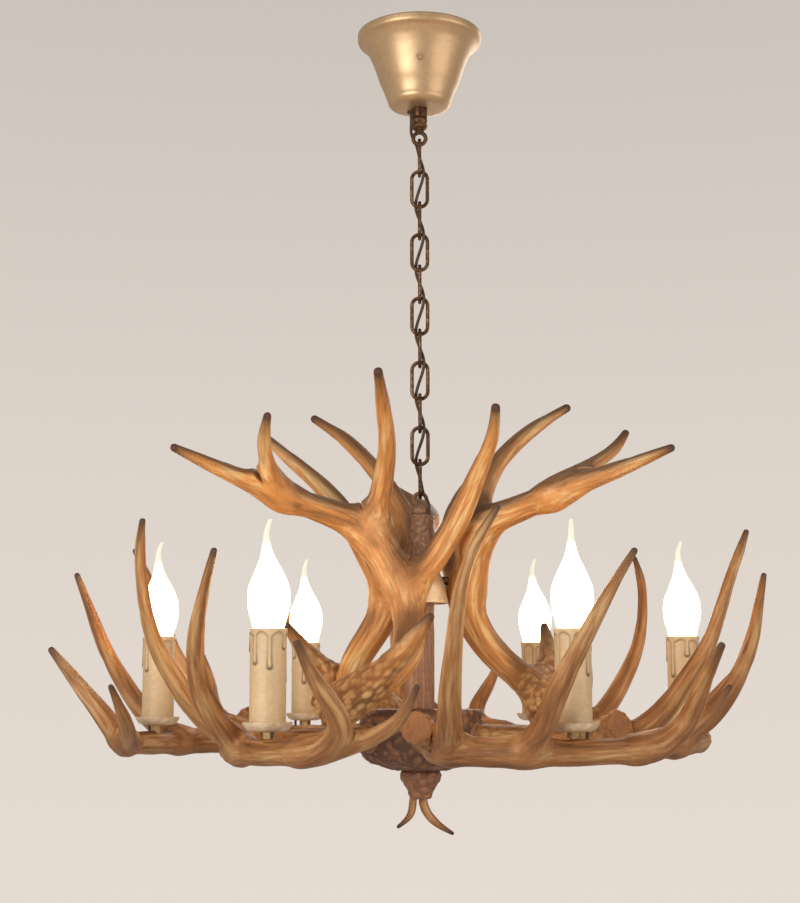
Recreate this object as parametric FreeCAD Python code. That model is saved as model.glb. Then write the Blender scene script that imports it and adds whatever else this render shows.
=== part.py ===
"""Antler chandelier with six candle lights, hung on a chain from a bell canopy.

Millimetres, +Z up. The origin is the centre of the ceiling face, so everything
hangs at negative Z. The six lower antlers are one casting repeated every 60
degrees, and the three upper antlers are another, repeated every 120 degrees.
"""
import FreeCAD, Part
import math
import os

V = FreeCAD.Vector
UP = V(0, 0, 1)

# ---- fits -----------------------------------------------------------------
FIT = 0.1                  # clearance all round a fixed pin in its hole
RUN = 0.3                  # clearance between pieces that move on each other

# ---- ceiling fitting --------------------------------------------------------
CANOPY_R = 62.0            # rim of the bell, against the ceiling
CANOPY_H = 76.0
CANOPY_WALL = 1.2
CANOPY_LIP = 5.0           # upright rim
CANOPY_WAIST_R = 48.0      # radius where the flare meets the cone
CANOPY_WAIST_DROP = 25.0
CANOPY_FOOT_R = 31.0       # foot of the cone, above the rounded bottom
BRACKET_T = 3.0
BRACKET_W = 20.0
BRACKET_HOLE_R = 2.6
BRACKET_HOLE_SPACING = 60.0
EAR_DROP = 46.0
EAR_GAP = 5.5              # between the ears and the bell
SIDE_SCREW_DROP = 39.0
SIDE_SCREW_R = 2.0
SIDE_SCREW_HEAD_R = 3.2
SIDE_SCREW_HEAD_H = 2.2
NIPPLE_R = 5.0             # threaded tube, drawn plain
NIPPLE_BORE_R = 3.2
NUT_H = 5.0
NUT_FLATS = 15.0
TERMINAL = (20.0, 17.0, 14.0)
GROMMET_R = 4.0
GROMMET_H = 3.0
GROMMET_AT = V(-8.4, 8.4, 0)

# ---- chain --------------------------------------------------------------------
LINKS = 11
WIRE_R = 1.9
LINK_W = 19.2              # outside width
LINK_PITCH = 32.3
LINK_INNER = LINK_PITCH + RUN
EYE_R = 4.2                # hole of the loops at both ends of the chain
EYE_WIRE_R = 2.0
LOOP_COLLAR_R = 8.0
LOOP_COLLAR_H = 15.0
LOOP_NECK_R = 4.0
LOOP_FLANGE_R = 6.5        # foot of the lower loop, on the top hub
LOOP_FLANGE_H = 8.0
LOOP_BORE = 7.0            # depth of the threaded hole in both loops
LOOP_EDGE = 1.2            # rounding of their edges
CANOPY_BOSS_R = 7.8
CANOPY_BOSS_H = 10.0

# ---- supply cord ----------------------------------------------------------------
CORD_R = 1.5
CORD_BEND_R = 15.0         # in the weave, as large as the links leave room for
CORD_WEAVE = 7.0           # how far the weave swings from the chain's centre line
CORD_START = V(-8, 16, 0)        # below the terminal block
CORD_ENTRY = V(8.0, -7.5, 10)    # where it turns into the top hub, from the hub's top
CORD_END = V(7.0, -6.5, -5)

# ---- centre column ----------------------------------------------------------------
BODY_LOOP_NECK = 8.0       # between the eye and the top hub
TOP_HUB_R = 13.0
TOP_HUB_H = 46.0
TOP_HUB_ROUND = 3.0        # rounding of its top edge
BELL_TOP_R = 15.5
BELL_R = 27.0
BELL_H = 40.0
BELL_WALL = 1.5
BELL_SHOULDER = 6.0        # depth of the nearly upright part at its top
BELL_FLARE = 3.2           # how much wider the rim is than the middle
COLUMN_R = 13.5
COLUMN_H = 100.0
COLUMN_GROOVES = 9
COLUMN_GROOVE_R = 2.0
COLUMN_GROOVE_OUT = 1.1    # how far outside the column a groove is centred
COLUMN_GROOVE_TURN = 7.0
TUBE_R = 5.0
TUBE_BORE_R = 3.5
SPIDER_RING_R = 10.5
SPIDER_RING_H = 12.0
SPIDER_ARM_R = 4.0
SPIDER_ARM_AZ = 247.0
SPIDER_ARM_REACH = 50.0
SPIDER_SINK = 18.0         # below the top of the bell
SPIDER_HOLE = 0.4          # clearance of the arms in the bell

# ---- lower hub and finial -----------------------------------------------------------
HUB_R = 57.0
HUB_H = 50.0
HUB_WALL = 5.0
HUB_FLOOR = 6.0
HUB_FOOT_ROUND = 8.0       # how far the foot is drawn in below the drum
HUB_SEAM = 3.0             # step between the drum and its foot
TRUNK_DROP = 23.0          # middle of the antlers' trunks, below the top of the hub
HUB_LID_T = 3.0
PAD_R = 14.0
PAD_T = 3.2                # how far the pads stand out from the hub
PAD_SINK = 6.0             # and how far they reach into its wall
BOLT_R = 3.0
BOLT_HEAD_R = 5.5
BOLT_HEAD_H = 4.0
BOLT_GRIP = 22.0           # length of the bolt inside the antler
KNOB_R = 19.5
KNOB_H = 27.0
KNOB_NECK_R = 10.6
KNOB_SIDE = [(-4, 0), (0, 4), (-1, 10), (-6, 17)]   # radius from KNOB_R, and depth
KNOB_NECK_DROP = 22.0

# ---- lights ---------------------------------------------------------------------------
LIGHTS = 6
LIGHT_CIRCLE_R = 250.0
LIGHT_AZ = 300.0           # the light that stands on the first lower antler
CUP_LOW = 8.0              # underside of the cup, from the middle of the lower hub
SLEEVE_R = 16.0
SLEEVE_WALL = 1.5
SLEEVE_H = 75.7            # above the cup's rim
SLEEVE_SEAT = 3.0          # depth of the sleeve in the cup
CUP_R = 21.0
CUP_H = 8.0
CUP_WALL = 1.6
CUP_FLARE = 7.0            # the foot is this much narrower than the rim
STUD_R = 3.75
STUD_BORE_R = 2.4
STUD_SINK = 9.0            # length of the stud inside the antler
STUD_SHOW = 5.8            # gap between the cup and the antler
LIGHT_NUT_FLATS = 10.4
STUD_TOP_SHOW = 4.0        # length of the stud above the sleeve's seat
HOLDER_R = 12.5
HOLDER_H = 48.0
HOLDER_STEM = 18.0
HOLDER_STEM_R = 6.5
CAP_R = 6.9                # E14 screw cap, thread drawn plain
CAP_H = 24.0
CAP_POINT = 3.0            # height and foot radius of its insulated point
BULB_R = 17.5
BULB_NECK = 2.0            # how much wider the glass starts than the cap
BULB_SIDE = [(0, 8, 14.8), (0, 17, 17), (0, 27, BULB_R), (0, 36, 16.2), (0, 43, 13.4), (-0.4, 50, 10.2),
             (-1.2, 57, 6.8), (-2.1, 65, 4.3), (-2.7, 73, 2.9), (-2.2, 82, 2.1), (0.6, 90.5, 1.5)]
# BULB_SIDE: offset of the drawn tip, height above the sleeve's rim, and radius
LEAD_R = 1.3
LEAD_SINK = 5.0            # length of the lead inside the antler
LEAD_AT = V(10.5, -1.0, 0)   # from the light's axis

# Antler castings: stations along each branch, x, y, z and radius. Z counts from
# the middle of the lower hub. Every branch but the first starts inside another.
LOWER_BEAM = [
    (5.2, -60, -3, 12), (8.7, -100, -4, 11.5), (14, -150, -6, 12), (28, -193, -8, 13),
    (56, -216, -8.5, 12.5), (90, -223, -8.5, 11.4), (125, -220, -8.5, 10.8), (160, -215, -7.5, 10.8),
    (193, -204, -4, 10.5), (216, -198, 12, 9.4), (228, -219, 42, 7.2), (241, -246, 77, 3.2)]
LOWER_TINES = [
    [(22, -185, -6, 11.4), (23, -222, 12, 10.6), (23.5, -251, 42, 9.2), (27, -279, 85, 7),
     (35, -294, 133, 5.2), (48, -301, 163, 4.2), (60, -304, 182, 2.7)],
    [(84, -221, -6, 11), (97, -245, 12, 10.4), (107.5, -267, 40, 9.2), (119, -278, 65, 7.8),
     (129, -282, 84, 6.8), (148, -284, 118, 5), (168, -284, 150, 2.7)],
    [(178, -208, -5, 9.3), (212, -179, 2, 8.2), (241, -160, 18, 6), (263.5, -155.5, 44, 2.8)]]
LOWER_STUB = [(14, -160, -4, 10.6), (4, -186, 5, 11.6), (-3.8, -207, 11.5, 12.2)]
UPPER_BEAM = [
    (-88, -91, 18, 17), (-58, -95, 36, 14.5), (-24, -92, 58, 13.5), (-10, -64, 90, 14.5),
    (-15, -44.5, 126, 16.2), (-30, -39.5, 160, 16.8), (-53, -35, 191, 15.8), (-90, -50, 207, 13),
    (-133, -72, 221, 10.6), (-176, -101, 237, 8), (-219, -132, 255, 3.8)]
UPPER_TINES = [
    [(-10, -43, 138, 12.5), (9, -45, 158, 12.6), (24, -50, 181, 12.2), (37, -59, 204, 11.2),
     (48, -73, 227, 9.2), (57, -91, 247, 7.8), (64, -110, 264, 6.6), (67, -140, 289, 4)],
    [(-46, -35, 188, 13.4), (-37, -47, 224, 10.4), (-31, -71, 261, 8.6), (-33, -107, 294, 7),
     (-37, -148, 320, 4.3)],
    [(-128, -68, 219, 9.4), (-138, -98, 244, 7.4), (-139, -130, 265, 5.8), (-135, -146, 281, 3.8)],
    [(-76, -93, 25, 13.5), (-48, -116, 46, 13), (-22, -132, 68, 10.4), (-2, -144, 90, 7.2),
     (8.6, -149, 104, 4)]]
UPPER_COUNT = 3
LIGHT_STATION = 6          # station of the lower beam that carries the light
LIGHT_INSET = 3.0          # the light stands this much nearer to the axis than that station
SECTION_STEP = 15.0        # spacing of the sections along a branch
TIP_CROWDING = 1.5         # sections crowd together towards a tip
CORONET_R = 3.4            # bead round the cut end of an antler
FINIAL_TINES = [
    [(-5.8, 0, -53, 3.3), (-7.4, 0, -64, 3.7), (-9.4, 0, -74, 3.5), (-21, 0, -86, 1.8)],
    [(3.2, 0, -53, 3.9), (2.6, 0, -64, 4.5), (11, 0, -79, 4.2), (29.5, 0, -92, 1.8)]]

# ---- heights worked out from the sizes above -----------------------------------------
BOSS_Z = -CANOPY_H - CANOPY_BOSS_H
LOOP_Z = BOSS_Z - LOOP_COLLAR_H
TOP_EYE_Z = LOOP_Z - EYE_R - EYE_WIRE_R
TOP_EYE_PIVOT_Z = TOP_EYE_Z - EYE_R - EYE_WIRE_R
LINK_L = LINK_INNER + 4 * WIRE_R
FIRST_LINK_Z = TOP_EYE_PIVOT_Z + EYE_WIRE_R + RUN - LINK_INNER / 2
LAST_LINK_Z = FIRST_LINK_Z - (LINKS - 1) * LINK_PITCH
LAST_PIVOT_Z = LAST_LINK_Z - LINK_INNER / 2 - WIRE_R
BODY_EYE_Z = LAST_PIVOT_Z + WIRE_R + RUN - EYE_R
TOP_HUB_Z = BODY_EYE_Z - EYE_R - EYE_WIRE_R - BODY_LOOP_NECK
BELL_Z = TOP_HUB_Z - TOP_HUB_H
COLUMN_TOP_Z = BELL_Z - BELL_H
HUB_TOP_Z = COLUMN_TOP_Z - COLUMN_H
HUB_Z = HUB_TOP_Z - TRUNK_DROP
HUB_FOOT_Z = HUB_TOP_Z - HUB_H
KNOB_Z = HUB_FOOT_Z - HUB_FLOOR
SPIDER_Z = BELL_Z - SPIDER_SINK
TRUNK_AZ = math.degrees(math.atan2(LOWER_BEAM[0][1], LOWER_BEAM[0][0]))
PAD_FACE_R = HUB_R + PAD_T
PAD_Z = HUB_Z + LOWER_BEAM[0][2]
STUD_FOOT = CUP_LOW - STUD_SHOW - STUD_SINK


# ---- small helpers -----------------------------------------------------------------------
def polar(azimuth, radius, z=0.0):
    a = math.radians(azimuth)
    return V(radius * math.cos(a), radius * math.sin(a), z)


def turned(shape, degrees):
    copy = shape.copy()
    copy.rotate(V(0, 0, 0), UP, degrees)
    return copy


def tube(outer_r, inner_r, z_low, z_high, at=V(0, 0, 0)):
    outer = Part.makeCylinder(outer_r, z_high - z_low, V(at.x, at.y, z_low))
    return outer.cut(Part.makeCylinder(inner_r, z_high - z_low, V(at.x, at.y, z_low)))


def hexagon(flats, z_low, z_high, at=V(0, 0, 0)):
    reach = flats / math.sqrt(3)
    corners = [polar(60 * i, reach, z_low) + V(at.x, at.y, 0) for i in range(7)]
    return Part.Face(Part.makePolygon(corners)).extrude(V(0, 0, z_high - z_low))


def revolved(profile):
    """Solid of revolution about Z from a closed list of (radius, z)."""
    points = [V(r, 0, z) for r, z in profile]
    face = Part.Face(Part.makePolygon(points + points[:1]))
    return face.revolve(V(0, 0, 0), UP, 360)


def bell(side, bottom_z, inset=0.0):
    """Solid of revolution whose side is a smooth curve through (radius, z)."""
    curve = Part.BSplineCurve()
    curve.interpolate([V(r - inset, 0, z) for r, z in side])
    top_r, top_z = side[0][0] - inset, side[0][1]
    low_r, low_z = side[-1][0] - inset, side[-1][1]
    edges = [curve.toShape(), Part.makeLine(V(low_r, 0, low_z), V(low_r - CANOPY_LIP, 0, bottom_z)),
             Part.makeLine(V(low_r - CANOPY_LIP, 0, bottom_z), V(0, 0, bottom_z)),
             Part.makeLine(V(0, 0, bottom_z), V(0, 0, top_z)),
             Part.makeLine(V(0, 0, top_z), V(top_r, 0, top_z))]
    return Part.Face(Part.Wire(edges)).revolve(V(0, 0, 0), UP, 360)


def branch(stations, rounded=True):
    """Loft through circles square to a smooth spine, with a rounded tip."""
    spine = Part.BSplineCurve()
    spine.interpolate([V(*s[:3]) for s in stations])
    marks = [spine.parameter(V(*s[:3])) for s in stations]
    steps = max(5, round(spine.length() / SECTION_STEP))
    side = UP
    wires = []
    for i in range(steps + 1):
        share = 1 - (1 - i / steps) ** (TIP_CROWDING if rounded else 1)
        mark = marks[0] + share * (marks[-1] - marks[0])
        k = max(j for j in range(len(marks) - 1) if marks[j] <= mark + 1e-9)
        part_way = (mark - marks[k]) / (marks[k + 1] - marks[k])
        radius = stations[k][3] + part_way * (stations[k + 1][3] - stations[k][3])
        if rounded and i == steps:
            radius *= 0.45
        point, along = spine.value(mark), spine.tangent(mark)[0]
        if abs(side.dot(along)) > 0.95:
            side = V(1, 0, 0)
        side = (side - along * side.dot(along)).normalize()
        third = along.cross(side)
        circle = Part.makeCircle(radius)
        circle.Placement = FreeCAD.Placement(FreeCAD.Matrix(
            side.x, third.x, along.x, point.x, side.y, third.y, along.y, point.y,
            side.z, third.z, along.z, point.z, 0, 0, 0, 1))
        wires.append(Part.Wire([circle]))
    return Part.makeLoft(wires, True, False)


def coronet(stations, first):
    """Bead round the cut end of a branch, at its first or last station."""
    end, other = (stations[0], stations[1]) if first else (stations[-1], stations[-2])
    inward = (V(*other[:3]) - V(*end[:3])).normalize()
    return Part.makeTorus(end[3] - CORONET_R * 0.4, CORONET_R, V(*end[:3]) + inward * CORONET_R, inward)


def rounded_path(points, bend_r):
    """Straight runs joined by tangent arcs of one radius, or less where a run is short."""
    edges = []
    start = points[0]
    for before, corner, after in zip(points, points[1:], points[2:]):
        u, w = (before - corner), (after - corner)
        half = (math.pi - u.getAngle(w)) / 2
        radius = min(bend_r, 0.45 * min(u.Length, w.Length) / math.tan(half))
        back = radius * math.tan(half)
        u.normalize()
        w.normalize()
        first, last = corner + u * back, corner + w * back
        middle = corner + (u + w).normalize() * (radius / math.cos(half) - radius)
        edges += [Part.LineSegment(start, first).toShape(), Part.Arc(first, middle, last).toShape()]
        start = last
        print("bend radius %.1f" % radius)
    edges.append(Part.LineSegment(start, points[-1]).toShape())
    return Part.Wire(edges)


def piped(points, radius, bend_r):
    path = rounded_path(points, bend_r)
    ring = Part.makeCircle(radius, points[0], points[1] - points[0])
    solid = path.makePipeShell([Part.Wire([ring])], True, False)
    print("tube volume %.1f, section times length %.1f"
          % (solid.Volume, math.pi * radius ** 2 * path.Length))
    return solid


def set_out(stations):
    """Stations of a lower antler, moved so that its root meets the hub and its beam the light circle."""
    root, light = (math.hypot(*LOWER_BEAM[i][:2]) for i in (0, LIGHT_STATION))
    stretch = (LIGHT_CIRCLE_R + LIGHT_INSET - PAD_FACE_R) / (light - root)
    moved = []
    for x, y, z, radius in stations:
        reach = math.hypot(x, y)
        share = (PAD_FACE_R + (reach - root) * stretch) / reach
        moved.append((x * share, y * share, z, radius))
    return moved


def save(name, shape):
    solids = shape.Solids
    group = solids[0] if len(solids) == 1 else Part.makeCompound(solids)
    if not group.isValid():
        print("NOT VALID", name)
    group.exportStep("parts/%s.step" % name)
    print("%-20s solids %d volume %.0f" % (name, len(solids), group.Volume))


# ---- ceiling fitting --------------------------------------------------------------------
def canopy_side():
    return [(CANOPY_R, -CANOPY_LIP), (CANOPY_R - 4, -CANOPY_LIP - 4),
            (CANOPY_WAIST_R, -CANOPY_WAIST_DROP), (CANOPY_WAIST_R - 8.5, -CANOPY_H * 0.66),
            (CANOPY_FOOT_R, -CANOPY_H + CANOPY_LIP)]


def canopy():
    side = canopy_side()
    outer = bell(side, -CANOPY_H).fuse(Part.makeCylinder(CANOPY_R, CANOPY_LIP, V(0, 0, -CANOPY_LIP)))
    inner = bell(side, -CANOPY_H + CANOPY_WALL, CANOPY_WALL).fuse(
        Part.makeCylinder(CANOPY_R - CANOPY_WALL, CANOPY_LIP, V(0, 0, -CANOPY_LIP)))
    shell = outer.cut(inner)
    shell = shell.cut(Part.makeCylinder(NIPPLE_R + FIT, CANOPY_H, V(0, 0, -CANOPY_H)))
    shell = shell.cut(Part.makeCylinder(GROMMET_R - 1 + FIT, CANOPY_H, GROMMET_AT - V(0, 0, CANOPY_H)))
    for side_y in (-1, 1):
        shell = shell.cut(Part.makeCylinder(SIDE_SCREW_R + FIT, CANOPY_R,
                                            V(0, 0, -SIDE_SCREW_DROP), V(0, side_y, 0)))
    return shell


def canopy_outer_r(drop):
    """Radius of the canopy's side at a given drop, for the screws that pass it."""
    curve = Part.BSplineCurve()
    curve.interpolate([V(r, 0, z) for r, z in canopy_side()])
    cut = curve.toShape().common(Part.makeBox(CANOPY_R, 2, 0.01, V(0, -1, -drop)))
    return cut.BoundBox.Center.x


def ear_y():
    return canopy_outer_r(SIDE_SCREW_DROP) - CANOPY_WALL - EAR_GAP


def ceiling_bracket():
    reach = ear_y()
    strip = Part.makeBox(BRACKET_W, 2 * reach, BRACKET_T, V(-BRACKET_W / 2, -reach, -BRACKET_T))
    for side_y in (-1, 1):
        low_y = -reach if side_y < 0 else reach - BRACKET_T / 2
        ear = Part.makeBox(BRACKET_W / 2, BRACKET_T / 2, EAR_DROP, V(-BRACKET_W / 4, low_y, -EAR_DROP))
        strip = strip.fuse(ear)
        strip = strip.cut(Part.makeCylinder(SIDE_SCREW_R + FIT, 2 * BRACKET_T,
                                            V(0, side_y * (reach - BRACKET_T), -SIDE_SCREW_DROP),
                                            V(0, side_y, 0)))
        strip = strip.cut(Part.makeCylinder(BRACKET_HOLE_R, BRACKET_T,
                                            V(0, side_y * BRACKET_HOLE_SPACING / 2, -BRACKET_T)))
    return strip.cut(Part.makeCylinder(NIPPLE_R + FIT, BRACKET_T, V(0, 0, -BRACKET_T))).removeSplitter()


def canopy_screws():
    screws = []
    for side_y in (-1, 1):
        seat = canopy_outer_r(SIDE_SCREW_DROP - SIDE_SCREW_HEAD_R) + FIT
        shank = Part.makeCylinder(SIDE_SCREW_R, seat - ear_y() + 4,
                                  V(0, side_y * (ear_y() - 4), -SIDE_SCREW_DROP), V(0, side_y, 0))
        head = Part.makeCylinder(SIDE_SCREW_HEAD_R, SIDE_SCREW_HEAD_H, V(0, side_y * seat, -SIDE_SCREW_DROP),
                                 V(0, side_y, 0))
        slot_w = SIDE_SCREW_HEAD_R / 4
        slot = Part.makeBox(2 * SIDE_SCREW_HEAD_R, slot_w, slot_w,
                            V(-SIDE_SCREW_HEAD_R, side_y * (seat + SIDE_SCREW_HEAD_H) - slot_w / 2,
                              -SIDE_SCREW_DROP - slot_w / 2))
        screws.append(shank.fuse(head).cut(slot))
    return Part.makeCompound(screws)


def eye(z):
    return Part.makeTorus(EYE_R + EYE_WIRE_R, EYE_WIRE_R, V(0, 0, z), V(0, 1, 0))


def canopy_loop():
    collar_low = LOOP_Z + LOOP_NECK_R
    collar = Part.makeCylinder(LOOP_COLLAR_R, BOSS_Z - collar_low, V(0, 0, collar_low))
    collar = collar.makeFillet(LOOP_EDGE, collar.Edges)
    neck_low = TOP_EYE_Z + EYE_R + EYE_WIRE_R * 0.7
    neck = Part.makeCone(LOOP_NECK_R, LOOP_COLLAR_R - LOOP_EDGE, collar_low + LOOP_EDGE - neck_low,
                         V(0, 0, neck_low))
    body = collar.fuse(neck).fuse(eye(TOP_EYE_Z))
    return body.cut(Part.makeCylinder(NIPPLE_R + FIT, LOOP_BORE + 1, V(0, 0, BOSS_Z - LOOP_BORE - 1)))


def canopy_boss():
    return tube(CANOPY_BOSS_R, NIPPLE_R + FIT, BOSS_Z, -CANOPY_H)


def canopy_nipple():
    return tube(NIPPLE_R, NIPPLE_BORE_R, BOSS_Z - LOOP_BORE, -RUN)


def canopy_nuts():
    nuts = [hexagon(NUT_FLATS, -BRACKET_T - NUT_H, -BRACKET_T),
            hexagon(NUT_FLATS, -CANOPY_H + CANOPY_WALL, -CANOPY_H + CANOPY_WALL + NUT_H)]
    hole = Part.makeCylinder(NIPPLE_R + FIT, CANOPY_H, V(0, 0, -CANOPY_H))
    return Part.makeCompound([nut.cut(hole) for nut in nuts])


def cord_grommet():
    mouth = CORD_R + FIT
    body = tube(GROMMET_R, mouth, -CANOPY_H - GROMMET_H / 2, -CANOPY_H, GROMMET_AT)
    neck = tube(GROMMET_R - 1, mouth, -CANOPY_H, -CANOPY_H + CANOPY_WALL + 1, GROMMET_AT)
    return body.fuse(neck).cut(Part.makeCylinder(NIPPLE_R + 3, CANOPY_H, V(0, 0, -CANOPY_H - 5)))


def terminal_block():
    long_x, long_y, high = TERMINAL
    low_y = NUT_FLATS / math.sqrt(3) + 1
    block = Part.makeBox(long_x, long_y, high, V(-long_x * 0.7, low_y, -BRACKET_T - high))
    block = block.makeFillet(1.0, [e for e in block.Edges if abs(e.Vertexes[0].Z - e.Vertexes[1].Z) > 1])
    for i in range(3):
        at = V(-long_x * 0.7 + long_x * (i + 0.5) / 3, low_y + long_y + 0.5, -BRACKET_T - high / 2)
        block = block.cut(Part.makeCylinder(1.6, 6, at, V(0, -1, 0)))
    return block


# ---- chain ---------------------------------------------------------------------------------
def chain_link(index):
    """Odd links lie in the YZ plane, even ones in the XZ plane."""
    bend_r = LINK_W / 2 - WIRE_R
    leg = LINK_INNER / 2 + WIRE_R - bend_r
    arc_top = Part.Arc(V(bend_r, 0, leg), V(0, 0, leg + bend_r), V(-bend_r, 0, leg)).toShape()
    arc_low = Part.Arc(V(-bend_r, 0, -leg), V(0, 0, -leg - bend_r), V(bend_r, 0, -leg)).toShape()
    path = Part.Wire([arc_top, Part.makeLine(V(-bend_r, 0, leg), V(-bend_r, 0, -leg)), arc_low,
                      Part.makeLine(V(bend_r, 0, -leg), V(bend_r, 0, leg))])
    ring = Part.Wire([Part.makeCircle(WIRE_R, V(bend_r, 0, leg), UP)])
    link = path.makePipeShell([ring], True, False)
    if index % 2:
        link = turned(link, 90)
    link.translate(V(0, 0, FIRST_LINK_Z - (index - 1) * LINK_PITCH))
    return link


def supply_cord():
    """From the terminal block through every link into the top hub."""
    across = V(1, -1, 0).normalize()
    block_foot = -BRACKET_T - TERMINAL[2]
    route = [CORD_START + V(0, 0, block_foot), CORD_START + V(0, 0, block_foot - TERMINAL[2]),
             GROMMET_AT + V(0, 0, -CANOPY_H * 0.8), GROMMET_AT + V(0, 0, LOOP_Z + CORD_R),
             across * -CORD_WEAVE + V(0, 0, TOP_EYE_Z - CORD_WEAVE)]
    for i in range(LINKS):
        side = 1 if i % 2 == 0 else -1
        z = FIRST_LINK_Z - (i + 0.5) * LINK_PITCH
        route.append(across * (side * CORD_WEAVE) + V(0, 0, z))
    route += [CORD_ENTRY + V(0, 0, TOP_HUB_Z), CORD_END + V(0, 0, TOP_HUB_Z)]
    return piped(route, CORD_R, CORD_BEND_R), route


# ---- centre column --------------------------------------------------------------------------
def body_loop():
    neck_top = BODY_EYE_Z - EYE_R - EYE_WIRE_R * 0.6
    neck = Part.makeCylinder(LOOP_NECK_R, neck_top - TOP_HUB_Z, V(0, 0, TOP_HUB_Z))
    flange = Part.makeCylinder(LOOP_FLANGE_R, LOOP_FLANGE_H, V(0, 0, TOP_HUB_Z))
    flange = flange.makeFillet(LOOP_EDGE, flange.Edges)
    bore = Part.makeCylinder(TUBE_R + FIT, LOOP_BORE, V(0, 0, TOP_HUB_Z))
    return eye(BODY_EYE_Z).fuse(neck).fuse(flange).cut(bore)


def centre_tube():
    return tube(TUBE_R, TUBE_BORE_R, KNOB_Z - HUB_FLOOR + 1, TOP_HUB_Z + LOOP_BORE - 0.5)


def top_hub(route):
    body = Part.makeCylinder(TOP_HUB_R, TOP_HUB_H, V(0, 0, BELL_Z))
    body = body.makeFillet(TOP_HUB_ROUND, [body.Edges[0]])
    body = body.cut(Part.makeCylinder(TUBE_R + FIT, TOP_HUB_H, V(0, 0, BELL_Z)))
    run = (route[-1] - route[-2])
    hole = Part.makeCylinder(CORD_R + RUN, run.Length + 3, route[-2], run)
    return body.cut(hole)


def bell_collar():
    def side(inset):
        return [(BELL_TOP_R - inset, BELL_Z), (BELL_TOP_R + BELL_WALL - inset, BELL_Z - BELL_SHOULDER),
                (BELL_R - BELL_FLARE - inset, BELL_Z - BELL_H / 2), (BELL_R - inset, BELL_Z - BELL_H)]

    def cup(inset, top_z):
        curve = Part.BSplineCurve()
        curve.interpolate([V(r, 0, z) for r, z in side(inset)])
        low, high = side(inset)[-1], side(inset)[0]
        edges = [curve.toShape(), Part.makeLine(V(low[0], 0, low[1]), V(0, 0, low[1])),
                 Part.makeLine(V(0, 0, low[1]), V(0, 0, high[1])),
                 Part.makeLine(V(0, 0, high[1]), V(high[0], 0, high[1]))]
        solid = Part.Face(Part.Wire(edges)).revolve(V(0, 0, 0), UP, 360)
        return solid.common(Part.makeCylinder(2 * BELL_R, BELL_H, V(0, 0, top_z - BELL_H)))

    shell = cup(0, BELL_Z).cut(cup(BELL_WALL, BELL_Z - BELL_WALL))
    shell = shell.cut(Part.makeCylinder(TUBE_R + FIT, BELL_H, V(0, 0, BELL_Z - BELL_H)))
    for arm in spider_arms(SPIDER_HOLE):
        shell = shell.cut(arm)
    return shell


def spider_arms(grow=0.0):
    arms = []
    for i in range(UPPER_COUNT):
        azimuth = SPIDER_ARM_AZ + 360 / UPPER_COUNT * i
        start = polar(azimuth, TUBE_R + 2, SPIDER_Z)
        arms.append(Part.makeCylinder(SPIDER_ARM_R + grow, SPIDER_ARM_REACH - TUBE_R - 2 + grow, start,
                                      polar(azimuth, 1)))
    return arms


def antler_spider():
    ring = tube(SPIDER_RING_R, TUBE_R + FIT, SPIDER_Z - SPIDER_RING_H / 2, SPIDER_Z + SPIDER_RING_H / 2)
    for arm in spider_arms():
        ring = ring.fuse(arm)
    return ring


def column_sleeve():
    """Bark-like tube with shallow grooves, from inside the bell down to the hub."""
    top = SPIDER_Z - SPIDER_RING_H / 2
    body = tube(COLUMN_R, TUBE_R + FIT, HUB_TOP_Z, top)
    for i in range(COLUMN_GROOVES):
        at = polar(360 / COLUMN_GROOVES * i + COLUMN_GROOVE_TURN, COLUMN_R + COLUMN_GROOVE_OUT)
        body = body.cut(Part.makeCylinder(COLUMN_GROOVE_R, top - HUB_TOP_Z, V(at.x, at.y, HUB_TOP_Z)))
    return body


# ---- lower hub and finial ----------------------------------------------------------------------
def lower_hub():
    """Drum with a rounded foot that holds the wiring and carries the lower antlers."""
    foot = HUB_FOOT_Z + HUB_FLOOR + HUB_SEAM
    flat_r = KNOB_R + HUB_SEAM
    profile = [(0, HUB_FOOT_Z - HUB_FLOOR), (flat_r, HUB_FOOT_Z - HUB_FLOOR),
               (HUB_R - HUB_FOOT_ROUND, foot - HUB_FOOT_ROUND + 1), (HUB_R, foot),
               (HUB_R, HUB_TOP_Z - HUB_LID_T), (0, HUB_TOP_Z - HUB_LID_T)]
    inner = [(0, HUB_FOOT_Z), (flat_r, HUB_FOOT_Z), (HUB_R - 2 * HUB_WALL, foot),
             (HUB_R - HUB_WALL, foot + HUB_SEAM), (HUB_R - HUB_WALL, HUB_TOP_Z), (0, HUB_TOP_Z)]
    drum = revolved(profile)
    for i in range(LIGHTS):
        azimuth = TRUNK_AZ + 360 / LIGHTS * i
        drum = drum.fuse(Part.makeCylinder(PAD_R, PAD_T + PAD_SINK,
                                           polar(azimuth, HUB_R - PAD_SINK, PAD_Z), polar(azimuth, 1)))
    drum = drum.cut(revolved(inner))
    for i in range(LIGHTS):
        azimuth = TRUNK_AZ + 360 / LIGHTS * i
        drum = drum.cut(Part.makeCylinder(BOLT_R + FIT, HUB_R, polar(azimuth, HUB_R / 2, PAD_Z),
                                          polar(azimuth, 1)))
    return drum.cut(Part.makeCylinder(TUBE_R + FIT, HUB_H, V(0, 0, HUB_FOOT_Z - HUB_FLOOR)))


def hub_lid():
    return tube(HUB_R, TUBE_R + FIT, HUB_TOP_Z - HUB_LID_T, HUB_TOP_Z)


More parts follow.
